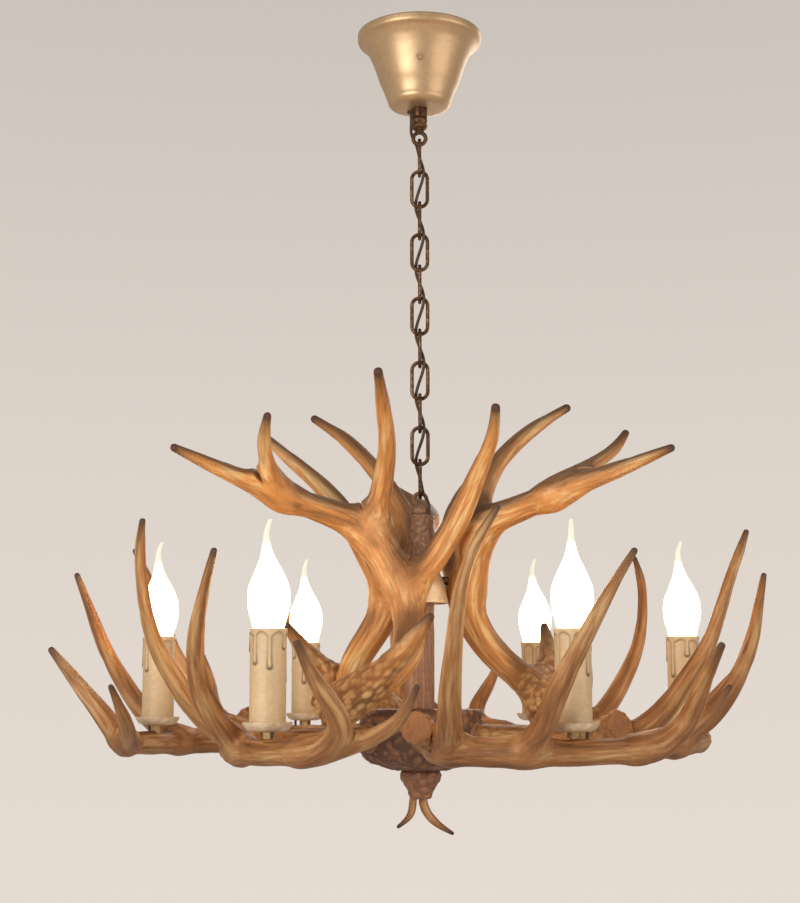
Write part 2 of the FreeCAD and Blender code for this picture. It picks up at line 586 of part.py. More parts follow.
def antler_bolts():
    bolts = []
    for i in range(LIGHTS):
        azimuth = TRUNK_AZ + 360 / LIGHTS * i
        seat_r = math.sqrt((HUB_R - HUB_WALL) ** 2 - BOLT_HEAD_R ** 2)
        head = Part.makeCylinder(BOLT_HEAD_R, BOLT_HEAD_H, polar(azimuth, seat_r - BOLT_HEAD_H, PAD_Z),
                                 polar(azimuth, 1))
        shank = Part.makeCylinder(BOLT_R, PAD_FACE_R + BOLT_GRIP - seat_r, polar(azimuth, seat_r, PAD_Z),
                                  polar(azimuth, 1))
        bolts.append(head.fuse(shank))
    return Part.makeCompound(bolts)


def hub_nuts():
    nut = hexagon(NUT_FLATS, HUB_FOOT_Z, HUB_FOOT_Z + NUT_H)
    return nut.cut(Part.makeCylinder(TUBE_R + FIT, NUT_H, V(0, 0, HUB_FOOT_Z)))


def finial_knob():
    profile = [(0, KNOB_Z)] + [(KNOB_R + wider, KNOB_Z - depth) for wider, depth in KNOB_SIDE]
    profile += [(KNOB_NECK_R, KNOB_Z - KNOB_NECK_DROP), (KNOB_NECK_R, KNOB_Z - KNOB_H), (0, KNOB_Z - KNOB_H)]
    knob = revolved(profile)
    knob = knob.cut(Part.makeCylinder(TUBE_R + FIT, HUB_FLOOR, V(0, 0, KNOB_Z - HUB_FLOOR)))
    return knob.cut(finial_shapes(FIT))


def finial_shapes(grow=0.0):
    return [branch([(x, y, z + HUB_Z, r + grow) for x, y, z, r in stations]) for stations in FINIAL_TINES]


# ---- antlers --------------------------------------------------------------------------------------
def lower_antler():
    stub = set_out(LOWER_STUB)
    shape = branch(set_out(LOWER_BEAM))
    shape = shape.multiFuse([branch(set_out(tine)) for tine in LOWER_TINES]
                            + [branch(stub, False), coronet(stub, False)])
    shape.translate(V(0, 0, HUB_Z))
    root, radial = polar(TRUNK_AZ, PAD_FACE_R, PAD_Z), polar(TRUNK_AZ, 1)
    shape = shape.cut(Part.makeCylinder(3 * PAD_R, 3 * PAD_R, root, radial * -1))   # square against the pad
    shape = shape.cut(Part.makeCylinder(BOLT_R + FIT, BOLT_GRIP + 2, root, radial))
    shape = shape.cut(Part.makeCylinder(STUD_R + FIT, 3 * STUD_SINK, light_at(0, HUB_Z + STUD_FOOT)))
    lead_foot = light_at(0, HUB_Z + CUP_LOW - STUD_SHOW - LEAD_SINK - 1) + LEAD_AT
    return shape.cut(Part.makeCylinder(LEAD_R + FIT, 3 * STUD_SINK, lead_foot))


def upper_antler():
    shape = branch(UPPER_BEAM)
    shape = shape.multiFuse([branch(t) for t in UPPER_TINES] + [coronet(UPPER_BEAM, True)])
    shape.translate(V(0, 0, HUB_Z))
    return shape.cut(spider_arms(FIT)[0])


# ---- lights ------------------------------------------------------------------------------------------
def light_at(index, z):
    return polar(LIGHT_AZ + 360 / LIGHTS * index, LIGHT_CIRCLE_R, z)


def candle_cup():
    inner_r, foot_r = CUP_R - CUP_WALL, CUP_R - CUP_FLARE
    profile = [(0, 0), (foot_r, 0), (CUP_R - 1, CUP_H - SLEEVE_SEAT), (CUP_R, CUP_H), (inner_r, CUP_H),
               (inner_r - 1, CUP_H - CUP_WALL), (foot_r - 1, CUP_WALL), (0, CUP_WALL)]
    cup = revolved(profile)
    seat = Part.makeCylinder(SLEEVE_R + 1, CUP_H - CUP_WALL, V(0, 0, CUP_WALL))
    seat = seat.cut(Part.makeCylinder(SLEEVE_R + FIT, SLEEVE_SEAT, V(0, 0, CUP_H - SLEEVE_SEAT)))
    cup = cup.fuse(seat)
    return cup.cut(Part.makeCylinder(STUD_R + FIT, CUP_H))


def candle_stud():
    return tube(STUD_R, STUD_BORE_R, -STUD_SHOW - STUD_SINK, CUP_H - SLEEVE_SEAT + STUD_TOP_SHOW)


def light_nut():
    """Spacer nut between the cup and the antler."""
    nut = hexagon(LIGHT_NUT_FLATS, -STUD_SHOW + 0.5, 0)
    return nut.cut(Part.makeCylinder(STUD_R + FIT, STUD_SHOW, V(0, 0, -STUD_SHOW)))


def candle_sleeve():
    return tube(SLEEVE_R, SLEEVE_R - SLEEVE_WALL, CUP_H - SLEEVE_SEAT, CUP_H + SLEEVE_H)


def lamp_holder():
    low = CUP_H - SLEEVE_SEAT
    top = low + HOLDER_STEM + HOLDER_H
    body = Part.makeCylinder(HOLDER_R, HOLDER_H, V(0, 0, low + HOLDER_STEM))
    body = body.fuse(Part.makeCylinder(HOLDER_STEM_R, HOLDER_STEM, V(0, 0, low)))
    body = body.cut(Part.makeCylinder(CAP_R + RUN, CAP_H + RUN, V(0, 0, top - CAP_H - RUN)))
    return body.cut(Part.makeCylinder(STUD_R + FIT, 2 * STUD_TOP_SHOW, V(0, 0, low)))


def bulb():
    """Flame lamp: glass envelope with a leaning drawn tip, on a screw cap."""
    low = CUP_H - SLEEVE_SEAT + HOLDER_STEM + HOLDER_H
    cap = Part.makeCylinder(CAP_R, CAP_H - CAP_POINT, V(0, 0, low - CAP_H + CAP_POINT))
    cap = cap.fuse(Part.makeCone(CAP_POINT, CAP_R - RUN, CAP_POINT, V(0, 0, low - CAP_H)))
    rim = CUP_H + SLEEVE_H
    neck = [(0, low - rim, CAP_R + BULB_NECK), (0, (low - rim) / 2, CAP_R + 2 * BULB_NECK)]
    glass = branch([(x, 0, rim + z, r) for x, z, r in neck + BULB_SIDE])
    return Part.makeCompound([glass, cap])


def lights_group(shape):
    copies = []
    for i in range(LIGHTS):
        for solid in shape.Solids:
            copy = solid.copy()
            copy.translate(light_at(i, HUB_Z + CUP_LOW))
            copies.append(copy)
    return Part.makeCompound(copies)


def leads():
    """Short lead from the cup into the antler, beside the stud."""
    foot = light_at(0, HUB_Z + CUP_LOW - STUD_SHOW - LEAD_SINK) + LEAD_AT
    lead = Part.makeCylinder(LEAD_R, STUD_SHOW + LEAD_SINK, foot)
    return Part.makeCompound([turned(lead, 360 / LIGHTS * i) for i in range(LIGHTS)])


def main():
    os.makedirs("parts", exist_ok=True)
    cord, route = supply_cord()
    single = {
        "ceiling_bracket": ceiling_bracket(), "canopy_screws": canopy_screws(), "canopy": canopy(),
        "canopy_boss": canopy_boss(), "canopy_nipple": canopy_nipple(), "canopy_nuts": canopy_nuts(),
        "canopy_loop": canopy_loop(), "cord_grommet": cord_grommet(), "terminal_block": terminal_block(),
        "supply_cord": cord, "body_loop": body_loop(), "centre_tube": centre_tube(),
        "top_hub": top_hub(route), "bell_collar": bell_collar(), "antler_spider": antler_spider(),
        "column_sleeve": column_sleeve(), "lower_hub": lower_hub(), "hub_lid": hub_lid(),
        "antler_bolts": antler_bolts(), "hub_nuts": hub_nuts(), "finial_knob": finial_knob(),
        "finial_antlers": Part.makeCompound(finial_shapes()), "candle_cups": lights_group(candle_cup()),
        "candle_studs": lights_group(candle_stud()), "candle_nuts": lights_group(light_nut()),
        "candle_leads": leads(), "lamp_holders": lights_group(lamp_holder())}
    for name, shape in single.items():
        save(name, shape)
    for i in range(1, LINKS + 1):
        save("chain_link_%02d" % i, chain_link(i))
    low, high = lower_antler(), upper_antler()
    for i in range(LIGHTS):
        save("lower_antler_%d" % (i + 1), turned(low, 360 / LIGHTS * i))
    for i in range(UPPER_COUNT):
        save("upper_antler_%d" % (i + 1), turned(high, 360 / UPPER_COUNT * i))
    sleeve, lamp = candle_sleeve(), bulb()
    for i in range(LIGHTS):
        at = light_at(i, HUB_Z + CUP_LOW)
        for name, shape in (("candle_sleeve", sleeve), ("bulb", lamp)):
            copy = shape.copy()
            copy.translate(at)
            save("%s_%d" % (name, i + 1), copy)


main()
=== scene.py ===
"""Antler chandelier: the looks, built round its packed construction.

Lengths in the tables are millimetres, and everything that is built is metres.
The origin is the centre of the ceiling face, so the fixture hangs at negative Z.
"""

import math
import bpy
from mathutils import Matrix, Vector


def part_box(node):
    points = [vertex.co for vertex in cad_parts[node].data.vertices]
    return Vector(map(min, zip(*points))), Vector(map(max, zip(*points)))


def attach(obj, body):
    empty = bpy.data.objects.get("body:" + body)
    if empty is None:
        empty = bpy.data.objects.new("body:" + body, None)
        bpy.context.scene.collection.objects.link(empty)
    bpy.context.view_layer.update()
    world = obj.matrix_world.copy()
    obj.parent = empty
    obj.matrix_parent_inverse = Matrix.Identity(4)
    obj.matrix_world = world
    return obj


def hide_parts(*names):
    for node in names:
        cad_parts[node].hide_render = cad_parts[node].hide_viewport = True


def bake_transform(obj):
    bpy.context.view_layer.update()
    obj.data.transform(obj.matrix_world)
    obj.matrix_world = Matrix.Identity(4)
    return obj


bl_info = {
    "name": "Antler chandelier",
    "version": (1, 0, 0),
    "blender": (4, 5, 0),
    "location": "3D View > Sidebar > Chandelier",
    "description": "Dresses the packed antler chandelier with cast antlers, chain, candles and lamps",
    "category": "Object",
}

import bpy
import numpy as np
from bpy.props import FloatProperty, FloatVectorProperty, PointerProperty
from mathutils import Matrix, Vector, noise

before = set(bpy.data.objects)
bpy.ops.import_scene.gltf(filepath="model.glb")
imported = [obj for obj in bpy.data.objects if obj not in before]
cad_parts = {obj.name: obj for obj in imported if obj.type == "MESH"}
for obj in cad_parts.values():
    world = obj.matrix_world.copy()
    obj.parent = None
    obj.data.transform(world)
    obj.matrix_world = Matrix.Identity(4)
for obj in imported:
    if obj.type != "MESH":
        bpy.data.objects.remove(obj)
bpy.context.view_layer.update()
MM = 0.001
LINKS = 11
LIGHTS = 6
UPPERS = 3

# ---- antler castings, as the construction has them: x, y, z and radius in mm -----------------
# Z counts from the middle of the lower hub. A branch is stations, roughness at its root and how
# far that roughness reaches.
LOWER_BRANCHES = [
    ([(5.2, -60, -3, 12), (8.7, -100, -4, 11.5), (14, -150, -6, 12), (28, -193, -8, 13),
      (56, -216, -8.5, 12.5), (90, -223, -8.5, 11.4), (125, -220, -8.5, 10.8), (160, -215, -7.5, 10.8),
      (193, -204, -4, 10.5), (216, -198, 12, 9.4), (228, -219, 42, 7.2), (241, -246, 77, 3.2)], 0.5, 60),
    ([(22, -185, -6, 11.4), (23, -222, 12, 10.6), (23.5, -251, 42, 9.2), (27, -279, 85, 7),
      (35, -294, 133, 5.2), (48, -301, 163, 4.2), (60, -304, 182, 2.7)], 0.25, 40),
    ([(84, -221, -6, 11), (97, -245, 12, 10.4), (107.5, -267, 40, 9.2), (119, -278, 65, 7.8),
      (129, -282, 84, 6.8), (148, -284, 118, 5), (168, -284, 150, 2.7)], 0.1, 30),
    ([(178, -208, -5, 9.3), (212, -179, 2, 8.2), (241, -160, 18, 6), (263.5, -155.5, 44, 2.8)], 0.1, 30),
    ([(14, -160, -4, 10.6), (4, -186, 5, 11.6), (-3.8, -207, 11.5, 12.2)], 0.5, 200)]
UPPER_BRANCHES = [
    ([(-88, -91, 18, 17), (-58, -95, 36, 14.5), (-24, -92, 58, 13.5), (-10, -64, 90, 14.5),
      (-15, -44.5, 126, 16.2), (-30, -39.5, 160, 16.8), (-53, -35, 191, 15.8), (-90, -50, 207, 13),
      (-133, -72, 221, 10.6), (-176, -101, 237, 8), (-219, -132, 255, 3.8)], 1.0, 75),
    ([(-10, -43, 138, 12.5), (9, -45, 158, 12.6), (24, -50, 181, 12.2), (37, -59, 204, 11.2),
      (48, -73, 227, 9.2), (57, -91, 247, 7.8), (64, -110, 264, 6.6), (67, -140, 289, 4)], 0.1, 40),
    ([(-46, -35, 188, 13.4), (-37, -47, 224, 10.4), (-31, -71, 261, 8.6), (-33, -107, 294, 7),
      (-37, -148, 320, 4.3)], 0.1, 40),
    ([(-128, -68, 219, 9.4), (-138, -98, 244, 7.4), (-139, -130, 265, 5.8), (-135, -146, 281, 3.8)], 0.1, 30),
    ([(-76, -93, 25, 13.5), (-48, -116, 46, 13), (-22, -132, 68, 10.4), (-2, -144, 90, 7.2),
      (8.6, -149, 104, 4)], 1.0, 120)]
FINIAL_BRANCHES = [
    [([(-5.8, 0, -53, 3.3), (-7.4, 0, -64, 3.7), (-9.4, 0, -74, 3.5), (-21, 0, -86, 1.8)], 0.3, 20)],
    [([(3.2, 0, -53, 3.9), (2.6, 0, -64, 4.5), (11, 0, -79, 4.2), (29.5, 0, -92, 1.8)], 0.3, 20)]]
TRUNK_DROP = 23.0                  # middle of the lower antlers' trunks, below the top of the hub
LOWER_WEB, UPPER_WEB = 15, 24      # how far the branches of a casting run into one another
CORONET = 3.4                      # bead round a cut end
DRUM_R = 57                        # lower hub
LOOP_OUT, LOOP_WIRE = 8.2, 2.0     # cast rings at the two ends of the chain
CORD_R = 1.5                       # supply cord
SLEEVE_R, SLEEVE_WALL = 16.0, 1.5  # candle sleeve
# Runs of wax down a sleeve: angle in degrees, half width and length
WAX_RUNS = [(15, 1.7, 33), (68, 2.0, 17), (118, 1.6, 44), (168, 2.1, 24), (222, 1.8, 38), (276, 2.0, 19),
            (325, 1.9, 29)]
# How far each sleeve, and each lamp's leaning tip, is turned about its own axis, in degrees
SLEEVE_TURNS = (95, 0, 40, 150, 215, 265)
LAMP_TURNS = (80, 10, 0, -15, 20, 0)
# Lamp glass: sideways offset, height above the sleeve's rim, and radius
LAMP_SIDE = [(0, -12.7, 8.9), (0, -6.35, 10.9), (0, 8, 14.8), (0, 17, 17), (0, 27, 17.5), (0, 36, 16.2),
             (0, 43, 13.4), (-0.4, 50, 10.2), (-1.2, 57, 6.8), (-2.1, 65, 4.3), (-2.7, 73, 2.9),
             (-2.2, 82, 2.1), (0.6, 90.5, 1.5)]

# ---- places read from the frame -----------------------------------------------------------------
HUB_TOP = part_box("hub_lid")[1][2]
HUB_MID = HUB_TOP - TRUNK_DROP * MM


def levels(node):
    """Lowest and highest level of a construction node, in mm."""
    low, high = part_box(node)
    return low[2] / MM, high[2] / MM


def light_place(number, degrees=0):
    """Place of a piece on the axis of one of the lights, turned about it."""
    low, high = (Vector(c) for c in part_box("candle_sleeve_%d" % (number + 1)))
    middle = (low + high) / 2
    turn = Matrix.Rotation(math.radians(degrees), 4, "Z")
    return Matrix.Translation((middle.x, middle.y, 0)) @ turn


# ---- settings -----------------------------------------------------------------------------------
class AntlerSettings(bpy.types.PropertyGroup):
    """Finish of the cast antlers."""
    voxel: FloatProperty(name="Mesh size", description="Size of the faces of an antler's skin",
                         default=1.4 * MM, unit="LENGTH", precision=5)
    groove_depth: FloatProperty(name="Groove depth", description="Depth of the long grooves",
                                default=0.8 * MM, unit="LENGTH", precision=5)
    pearl_height: FloatProperty(name="Pearl height", description="Height of the beads near a cut end",
                                default=1.7 * MM, unit="LENGTH", precision=5)
    dark: FloatVectorProperty(name="Groove colour", description="Stain in the grooves", subtype="COLOR",
                              size=4, default=(0.13, 0.048, 0.016, 1))
    middle: FloatVectorProperty(name="Body colour", description="Main colour", subtype="COLOR",
                                size=4, default=(0.70, 0.31, 0.090, 1))
    # Top of the streak tones, and the colour of the painted highlight on the pearls
    light: FloatVectorProperty(name="Ridge colour", description="Colour of the rubbed ridges",
                               subtype="COLOR", size=4, default=(0.96, 0.64, 0.29, 1))
    cut: FloatVectorProperty(name="Cut colour", description="Stain on the sawn ends", subtype="COLOR",
                             size=4, default=(0.40, 0.17, 0.065, 1))


class MetalSettings(bpy.types.PropertyGroup):
    """Colours of the metal pieces."""
    canopy: FloatVectorProperty(name="Canopy", description="Champagne lacquer", subtype="COLOR",
                                size=4, default=(0.60, 0.41, 0.235, 1))
    bronze: FloatVectorProperty(name="Bronze", description="Chain and canopy loop", subtype="COLOR",
                                size=4, default=(0.085, 0.042, 0.022, 1))
    bell: FloatVectorProperty(name="Bell collar", description="Pale gold", subtype="COLOR",
                              size=4, default=(0.82, 0.62, 0.39, 1))


class CandleSettings(bpy.types.PropertyGroup):
    """Candle sleeves and lamps."""
    wax: FloatVectorProperty(name="Wax", description="Cream of the sleeve", subtype="COLOR",
                             size=4, default=(0.70, 0.51, 0.29, 1))
    drip_line: FloatVectorProperty(name="Drip line", description="Paint along the drips",
                                   subtype="COLOR", size=4, default=(0.10, 0.052, 0.022, 1))
    glow: FloatVectorProperty(name="Glow", description="Colour of the lit lamps", subtype="COLOR",
                              size=4, default=(1.0, 0.66, 0.32, 1))
    glow_strength: FloatProperty(name="Glow strength", description="Emission of the lit lamps",
                                 default=13.0)


class StageSettings(bpy.types.PropertyGroup):
    """Backdrop, lamps and camera."""
    backdrop: FloatVectorProperty(name="Backdrop", description="Pale warm grey", subtype="COLOR",
                                  size=4, default=(0.72, 0.65, 0.588, 1))
    key: FloatProperty(name="Key light", description="Power of the main lamp", default=21, unit="POWER")
    fill: FloatProperty(name="Fill light", description="Power of the side lamp", default=9, unit="POWER")
    ambient: FloatProperty(name="Ambient", description="Strength of the surrounding light", default=0.62)


SETTINGS = {"antler_settings": AntlerSettings, "metal_settings": MetalSettings,
            "candle_settings": CandleSettings, "stage_settings": StageSettings}


# ---- mesh helpers ---------------------------------------------------------------------------------
def new_piece(name, mesh):
    """Object in the scene that shows the mesh."""
    piece = bpy.data.objects.new(name, mesh)
    bpy.context.scene.collection.objects.link(piece)
    return piece


def write_values(mesh, values):
    """Named numbers or vectors at a mesh's points."""
    for label, value in values.items():
        value = np.asarray(value, "f")
        kind, field = ("FLOAT", "value") if value.ndim == 1 else ("FLOAT_VECTOR", "vector")
        mesh.attributes.new(label, kind, "POINT").data.foreach_set(field, value.ravel())


def add_mesh(name, points, faces, values=None):
    """Object from points in metres, with smooth shading and named values at its points."""
    mesh = bpy.data.meshes.new(name)
    mesh.from_pydata([tuple(p) for p in points], [], [tuple(f) for f in faces])
    mesh.update()
    mesh.shade_smooth()
    write_values(mesh, values or {})
    return new_piece(name, mesh)


def solid_piece(name, points, faces, values=None):
    """Object whose meeting points are merged and whose faces all point outwards."""
    piece = add_mesh(name, points, faces, values)
    bpy.context.view_layer.objects.active = piece
    for other in bpy.context.selected_objects:
        other.select_set(False)
    piece.select_set(True)
    bpy.ops.object.mode_set(mode="EDIT")
    bpy.ops.mesh.select_all(action="SELECT")
    bpy.ops.mesh.remove_doubles(threshold=1e-6)
    bpy.ops.mesh.normals_make_consistent(inside=False)
    bpy.ops.object.mode_set(mode="OBJECT")
    return piece


def grid_faces(rows, columns):
    """Quads of a grid whose columns run round a tube."""
    return [(i * columns + j, i * columns + (j + 1) % columns, (i + 1) * columns + (j + 1) % columns,
             (i + 1) * columns + j) for i in range(rows - 1) for j in range(columns)]


def ring_faces(around, section):
    """Quads of a closed ring whose sections are closed too."""
    return [(i * section + j, (i + 1) % around * section + j, (i + 1) % around * section + (j + 1) % section,
             i * section + (j + 1) % section) for i in range(around) for j in range(section)]


def natural_spline(points, step):
    """Smooth curve through the points, sampled about every step, with the chord length."""
    points = np.asarray(points, float)
    chord = np.concatenate([[0], np.cumsum(np.linalg.norm(np.diff(points[:, :3], axis=0), axis=1))])
    n, h = len(points), np.diff(chord)
    system, right = np.eye(n), np.zeros((n, points.shape[1]))
    for i in range(1, n - 1):
        system[i, i - 1:i + 2] = h[i - 1], 2 * (h[i - 1] + h[i]), h[i]
        right[i] = 6 * ((points[i + 1] - points[i]) / h[i] - (points[i] - points[i - 1]) / h[i - 1])
    bend = np.linalg.solve(system, right)
    at = np.linspace(0, chord[-1], max(3, int(round(chord[-1] / step)) + 1))
    k = np.clip(np.searchsorted(chord, at, side="right") - 1, 0, n - 2)
    a, b, w = (chord[k + 1] - at)[:, None], (at - chord[k])[:, None], h[k][:, None]
    curve = (bend[k] * a ** 3 + bend[k + 1] * b ** 3) / (6 * w) \
        + (points[k] / w - bend[k] * w / 6) * a + (points[k + 1] / w - bend[k + 1] * w / 6) * b
    return curve, at, chord


def frames_along(curve):
    """Tangent and two steady cross directions at each point of a curve."""
    tangent = np.gradient(curve, axis=0)
    tangent /= np.linalg.norm(tangent, axis=1)[:, None]
    side = np.array([0.0, 0, 1]) if abs(tangent[0][2]) < 0.9 else np.array([1.0, 0, 0])
    sides = []
    for t in tangent:
        side = side - t * side.dot(t)
        side /= np.linalg.norm(side)
        sides.append(side)
    sides = np.array(sides)
    return tangent, sides, np.cross(tangent, sides)


def tube(curve, radii, around):
    """Closed tube: points and faces, with flat caps."""
    _, side, third = frames_along(curve)
    angle = np.linspace(0, 2 * math.pi, around, endpoint=False)
    ring = side[:, None] * np.cos(angle)[None, :, None] + third[:, None] * np.sin(angle)[None, :, None]
    points = curve[:, None] + ring * np.asarray(radii)[:, None, None]
    rows = len(points)
    faces = grid_faces(rows, around)
    faces += [tuple(range(around))[::-1], tuple(range((rows - 1) * around, rows * around))]
    return points.reshape(-1, 3), faces


def joined(parts):
    """One set of points and faces out of several."""
    points, faces, start = [], [], 0
    for p, f in parts:
        points.append(np.asarray(p))
        faces += [tuple(i + start for i in face) for face in f]
        start += len(p)
    return np.concatenate(points), faces


def round_profile(profile, step, corner=0.35):
    """Profile of (radius, z) in mm resampled evenly, with its corners eased, in metres."""
    p = np.asarray(profile, float) * MM
    for _ in range(2):
        cut = [p[0]]
        for a, b in zip(p, p[1:]):
            cut += [a + (b - a) * corner * 0.5, b - (b - a) * corner * 0.5]
        p = np.array(cut + [p[-1]])
    length = np.concatenate([[0], np.cumsum(np.linalg.norm(np.diff(p, axis=0), axis=1))])
    at = np.linspace(0, length[-1], int(length[-1] / (step * MM)) + 2)
    return np.stack([np.interp(at, length, p[:, i]) for i in (0, 1)], -1)


def lathe(profile, around, depth=None):
    """Points and faces of a turned surface, and how far each point is pressed in.

    depth(x, y, z, radius) says that, for a profile that runs downwards on the outside.
    """
    angle = np.linspace(0, 2 * math.pi, around, endpoint=False)
    points = np.zeros((len(profile), around, 3))
    depths = np.zeros((len(profile), around))
    slope = np.gradient(profile, axis=0)
    slope /= np.maximum(np.linalg.norm(slope, axis=1), 1e-9)[:, None]
    for i, (radius, z) in enumerate(profile):
        out = (-slope[i][1], slope[i][0])
        for j, a in enumerate(angle):
            c, s = math.cos(a), math.sin(a)
            press = depth(radius * c, radius * s, z, radius) if depth else 0
            r = max(radius - out[0] * press, 0)
            points[i, j] = r * c, r * s, z - out[1] * press
            depths[i, j] = press
    return points.reshape(-1, 3), grid_faces(len(profile), around), depths.ravel()


def turned_piece(name, profile, around, depth=None):
    """Turned object that keeps the depths of its relief at its points."""
    points, faces, depths = lathe(profile, around, depth)
    return solid_piece(name, points, faces, {"relief": depths})


def loop_ring(z):
    """Cast ring at an end of the chain, centred on the axis at z, in mm."""
    around, section = 64, 20
    points = []
    for i in range(around):
        a = 2 * math.pi * i / around
        for j in range(section):
            b = 2 * math.pi * j / section
            r = LOOP_OUT - LOOP_WIRE + LOOP_WIRE * math.cos(b)
            points.append((r * math.cos(a) * MM, LOOP_WIRE * math.sin(b) * MM, (z + r * math.sin(a)) * MM))
    return np.array(points), ring_faces(around, section)


def copy_piece(piece, name, turn=0.0):
    """Another piece of the same shape, its mesh turned about the upright axis."""
    mesh = piece.data
    if turn:
        mesh = mesh.copy()
        mesh.transform(Matrix.Rotation(turn, 4, "Z"))
    return new_piece(name, mesh)


def dress(piece, material, body, slot, *nodes):
    """Give a piece its material and body, and the nodes that it stands for. The record slot is not used."""
    piece.data.materials.clear()
    piece.data.materials.append(material)
    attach(piece, body)
    if nodes:
        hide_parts(*nodes)


def use_on_nodes(material, *names):
    """Give carried-over construction nodes a material."""
    for name in names:
        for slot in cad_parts[name].material_slots:
            slot.material = material


def turned_step(number, count):
    """Angle of a copy, of the given count on equal steps of a circle."""
    return math.radians(360 / count * number)


# ---- antlers ---------------------------------------------------------------------------------------
class Branch:
    """One beam or tine: its smooth spine, radii and cross directions, in metres."""

    def __init__(self, stations, rough, reach, number):
        table = np.asarray(stations, float)
        curve, at, chord = natural_spline(table[:, :3], 1.0)
        self.curve = curve * MM
        self.radii = np.interp(at, chord, table[:, 3]) * MM
        self.along = at * MM
        self.length = self.along[-1]
        self.tangent, self.side, self.third = frames_along(self.curve)
        self.rough, self.reach, self.number = rough, reach * MM, number
        self.tipped = table[-1, 3] < 5

    def skin(self):
        """Smooth tube with a rounded tip, for the voxel skin."""
        keep = list(range(0, len(self.curve), 3))
        if keep[-1] != len(self.curve) - 1:
            keep.append(len(self.curve) - 1)
        curve, radii = self.curve[keep], self.radii[keep].copy()
        if self.tipped:
            ahead = self.tangent[-1]
            extra = np.array([curve[-1] + ahead * radii[-1] * f for f in (0.5, 0.85)])
            radii = np.concatenate([radii, radii[-1] * np.array([0.82, 0.45])])
            curve = np.concatenate([curve, extra])
        return tube(curve, radii, 28)

    def nearest(self, points):
        """For each point: distance to the skin, index on the spine, straightened place and outward way."""
        index = np.zeros(len(points), int)
        reach = np.zeros(len(points))
        batch = 4000
        for start in range(0, len(points), batch):
            part = points[start:start + batch]
            gap = np.linalg.norm(part[:, None] - self.curve[None], axis=2)
            index[start:start + batch] = gap.argmin(1)
            reach[start:start + batch] = gap.min(1)
        offset = points - self.curve[index]
        across = np.stack([(offset * self.side[index]).sum(1), (offset * self.third[index]).sum(1)], -1)
        beyond = (offset * self.tangent[index]).sum(1)
        straight = np.column_stack([across, self.along[index] + beyond])
        return reach - self.radii[index], index, straight, offset / np.maximum(reach, 1e-9)[:, None]

    def past_flat_end(self, straight):
        """Whether points lie on a sawn end, where the skin isn't round."""
        margin = 0.4 * MM
        past = straight[:, 2] < margin if self.number == 0 else np.zeros(len(straight), bool)
        return past if self.tipped else past | (straight[:, 2] > self.length - margin)


def run_together(points, drawn, web):
    """Points moved to a skin on which the branches run into one another in smooth webs."""
    rows = np.arange(len(points))
    too_far, stride, rounds = 0.6 * MM, 2 * MM, 5
    for _ in range(rounds):
        found = [b.nearest(points) for b in drawn]
        gaps = np.stack([f[0] for f in found], -1)
        ways = np.stack([f[3] for f in found], 1)
        order = np.argsort(gaps, axis=1)
        first = order[:, 0]
        depth, way = gaps[rows, first], ways[rows, first]
        if len(drawn) > 1:
            second = order[:, 1]
            lap = np.clip(1 - (gaps[rows, second] - gaps[rows, first]) / web, 0, 1)
            depth = depth - lap ** 2 * web / 4
            way = way * (1 - lap / 2)[:, None] + ways[rows, second] * (lap / 2)[:, None]
        sawn = np.zeros(len(points), bool)
        for number, b in enumerate(drawn):
            sawn |= (first == number) & b.past_flat_end(found[number][2])
        still = sawn | (depth > too_far)
        step = np.where(still, 0, depth) / np.maximum((way ** 2).sum(1), 0.15)
        points = points - way * np.clip(step, -stride, stride)[:, None]
    return points


def relief_at(branch, place, index, settings):
    """Height above the plain branch, share of groove colour, roughness and tone of the streaks."""
    x, y, u = place
    radius = branch.radii[index]
    shift = branch.number * 7.3
    size = min(1.0, radius / (11 * MM))
    taper = min(1.0, max(0.0, (branch.length - u) / (45 * MM))) if branch.tipped else 1.0

    def wave(across, along, sideways=0.0):
        """Noise whose fineness across and along the branch is per metre."""
        return noise.noise(Vector((x * across + sideways, y * across + sideways, u * along + shift)))
    ridge = wave(175, 13, wave(60, 28) * 0.35)
    valley = math.exp(-(ridge / 0.15) ** 2)
    swell = wave(45, 24)
    depth = settings.groove_depth * (0.35 + 0.65 * size)
    rise = depth * (-valley * (0.35 + 0.65 * taper) + wave(520, 34) * 0.30 * taper + swell * 1.1)
    tone = wave(90, 9) * 0.55 + wave(300, 16) * 0.4 + swell * 0.35
    stained = 0.3 * valley
    rough = branch.rough * max(0.0, 1 - max(u, 0) / branch.reach) ** 0.6
    if rough > 0:
        cell = noise.voronoi(Vector((x * 165, y * 165, u * 120 + shift)))[0]
        pearl = max(0.0, 1 - (cell[0] / 0.62) ** 2)
        rise += rough * settings.pearl_height * (pearl - 0.35 + 0.75 * wave(230, 70))
        stained = max(stained, rough * (1 - pearl))
    return np.array([rise, stained, rough, 0.5 + 0.5 * tone])


def soften(points, edges, rounds):
    """Even out a mesh without shrinking it: a step in, then a slightly longer step out."""
    step_in, step_out = 0.5, -0.5 * 1.04
    count = np.bincount(edges.ravel(), minlength=len(points)).astype(float)[:, None]
    for i in range(rounds * 2):
        total = np.zeros_like(points)
        np.add.at(total, edges[:, 0], points[edges[:, 1]])
        np.add.at(total, edges[:, 1], points[edges[:, 0]])
        factor = step_in if i % 2 == 0 else step_out
        points = points + (total / np.maximum(count, 1) - points) * factor
    return points


def mesh_values(mesh, label):
    """Coordinates or normals of a mesh's points."""
    values = np.empty(len(mesh.vertices) * 3)
    mesh.vertices.foreach_get(label, values)
    return values.reshape(-1, 3)


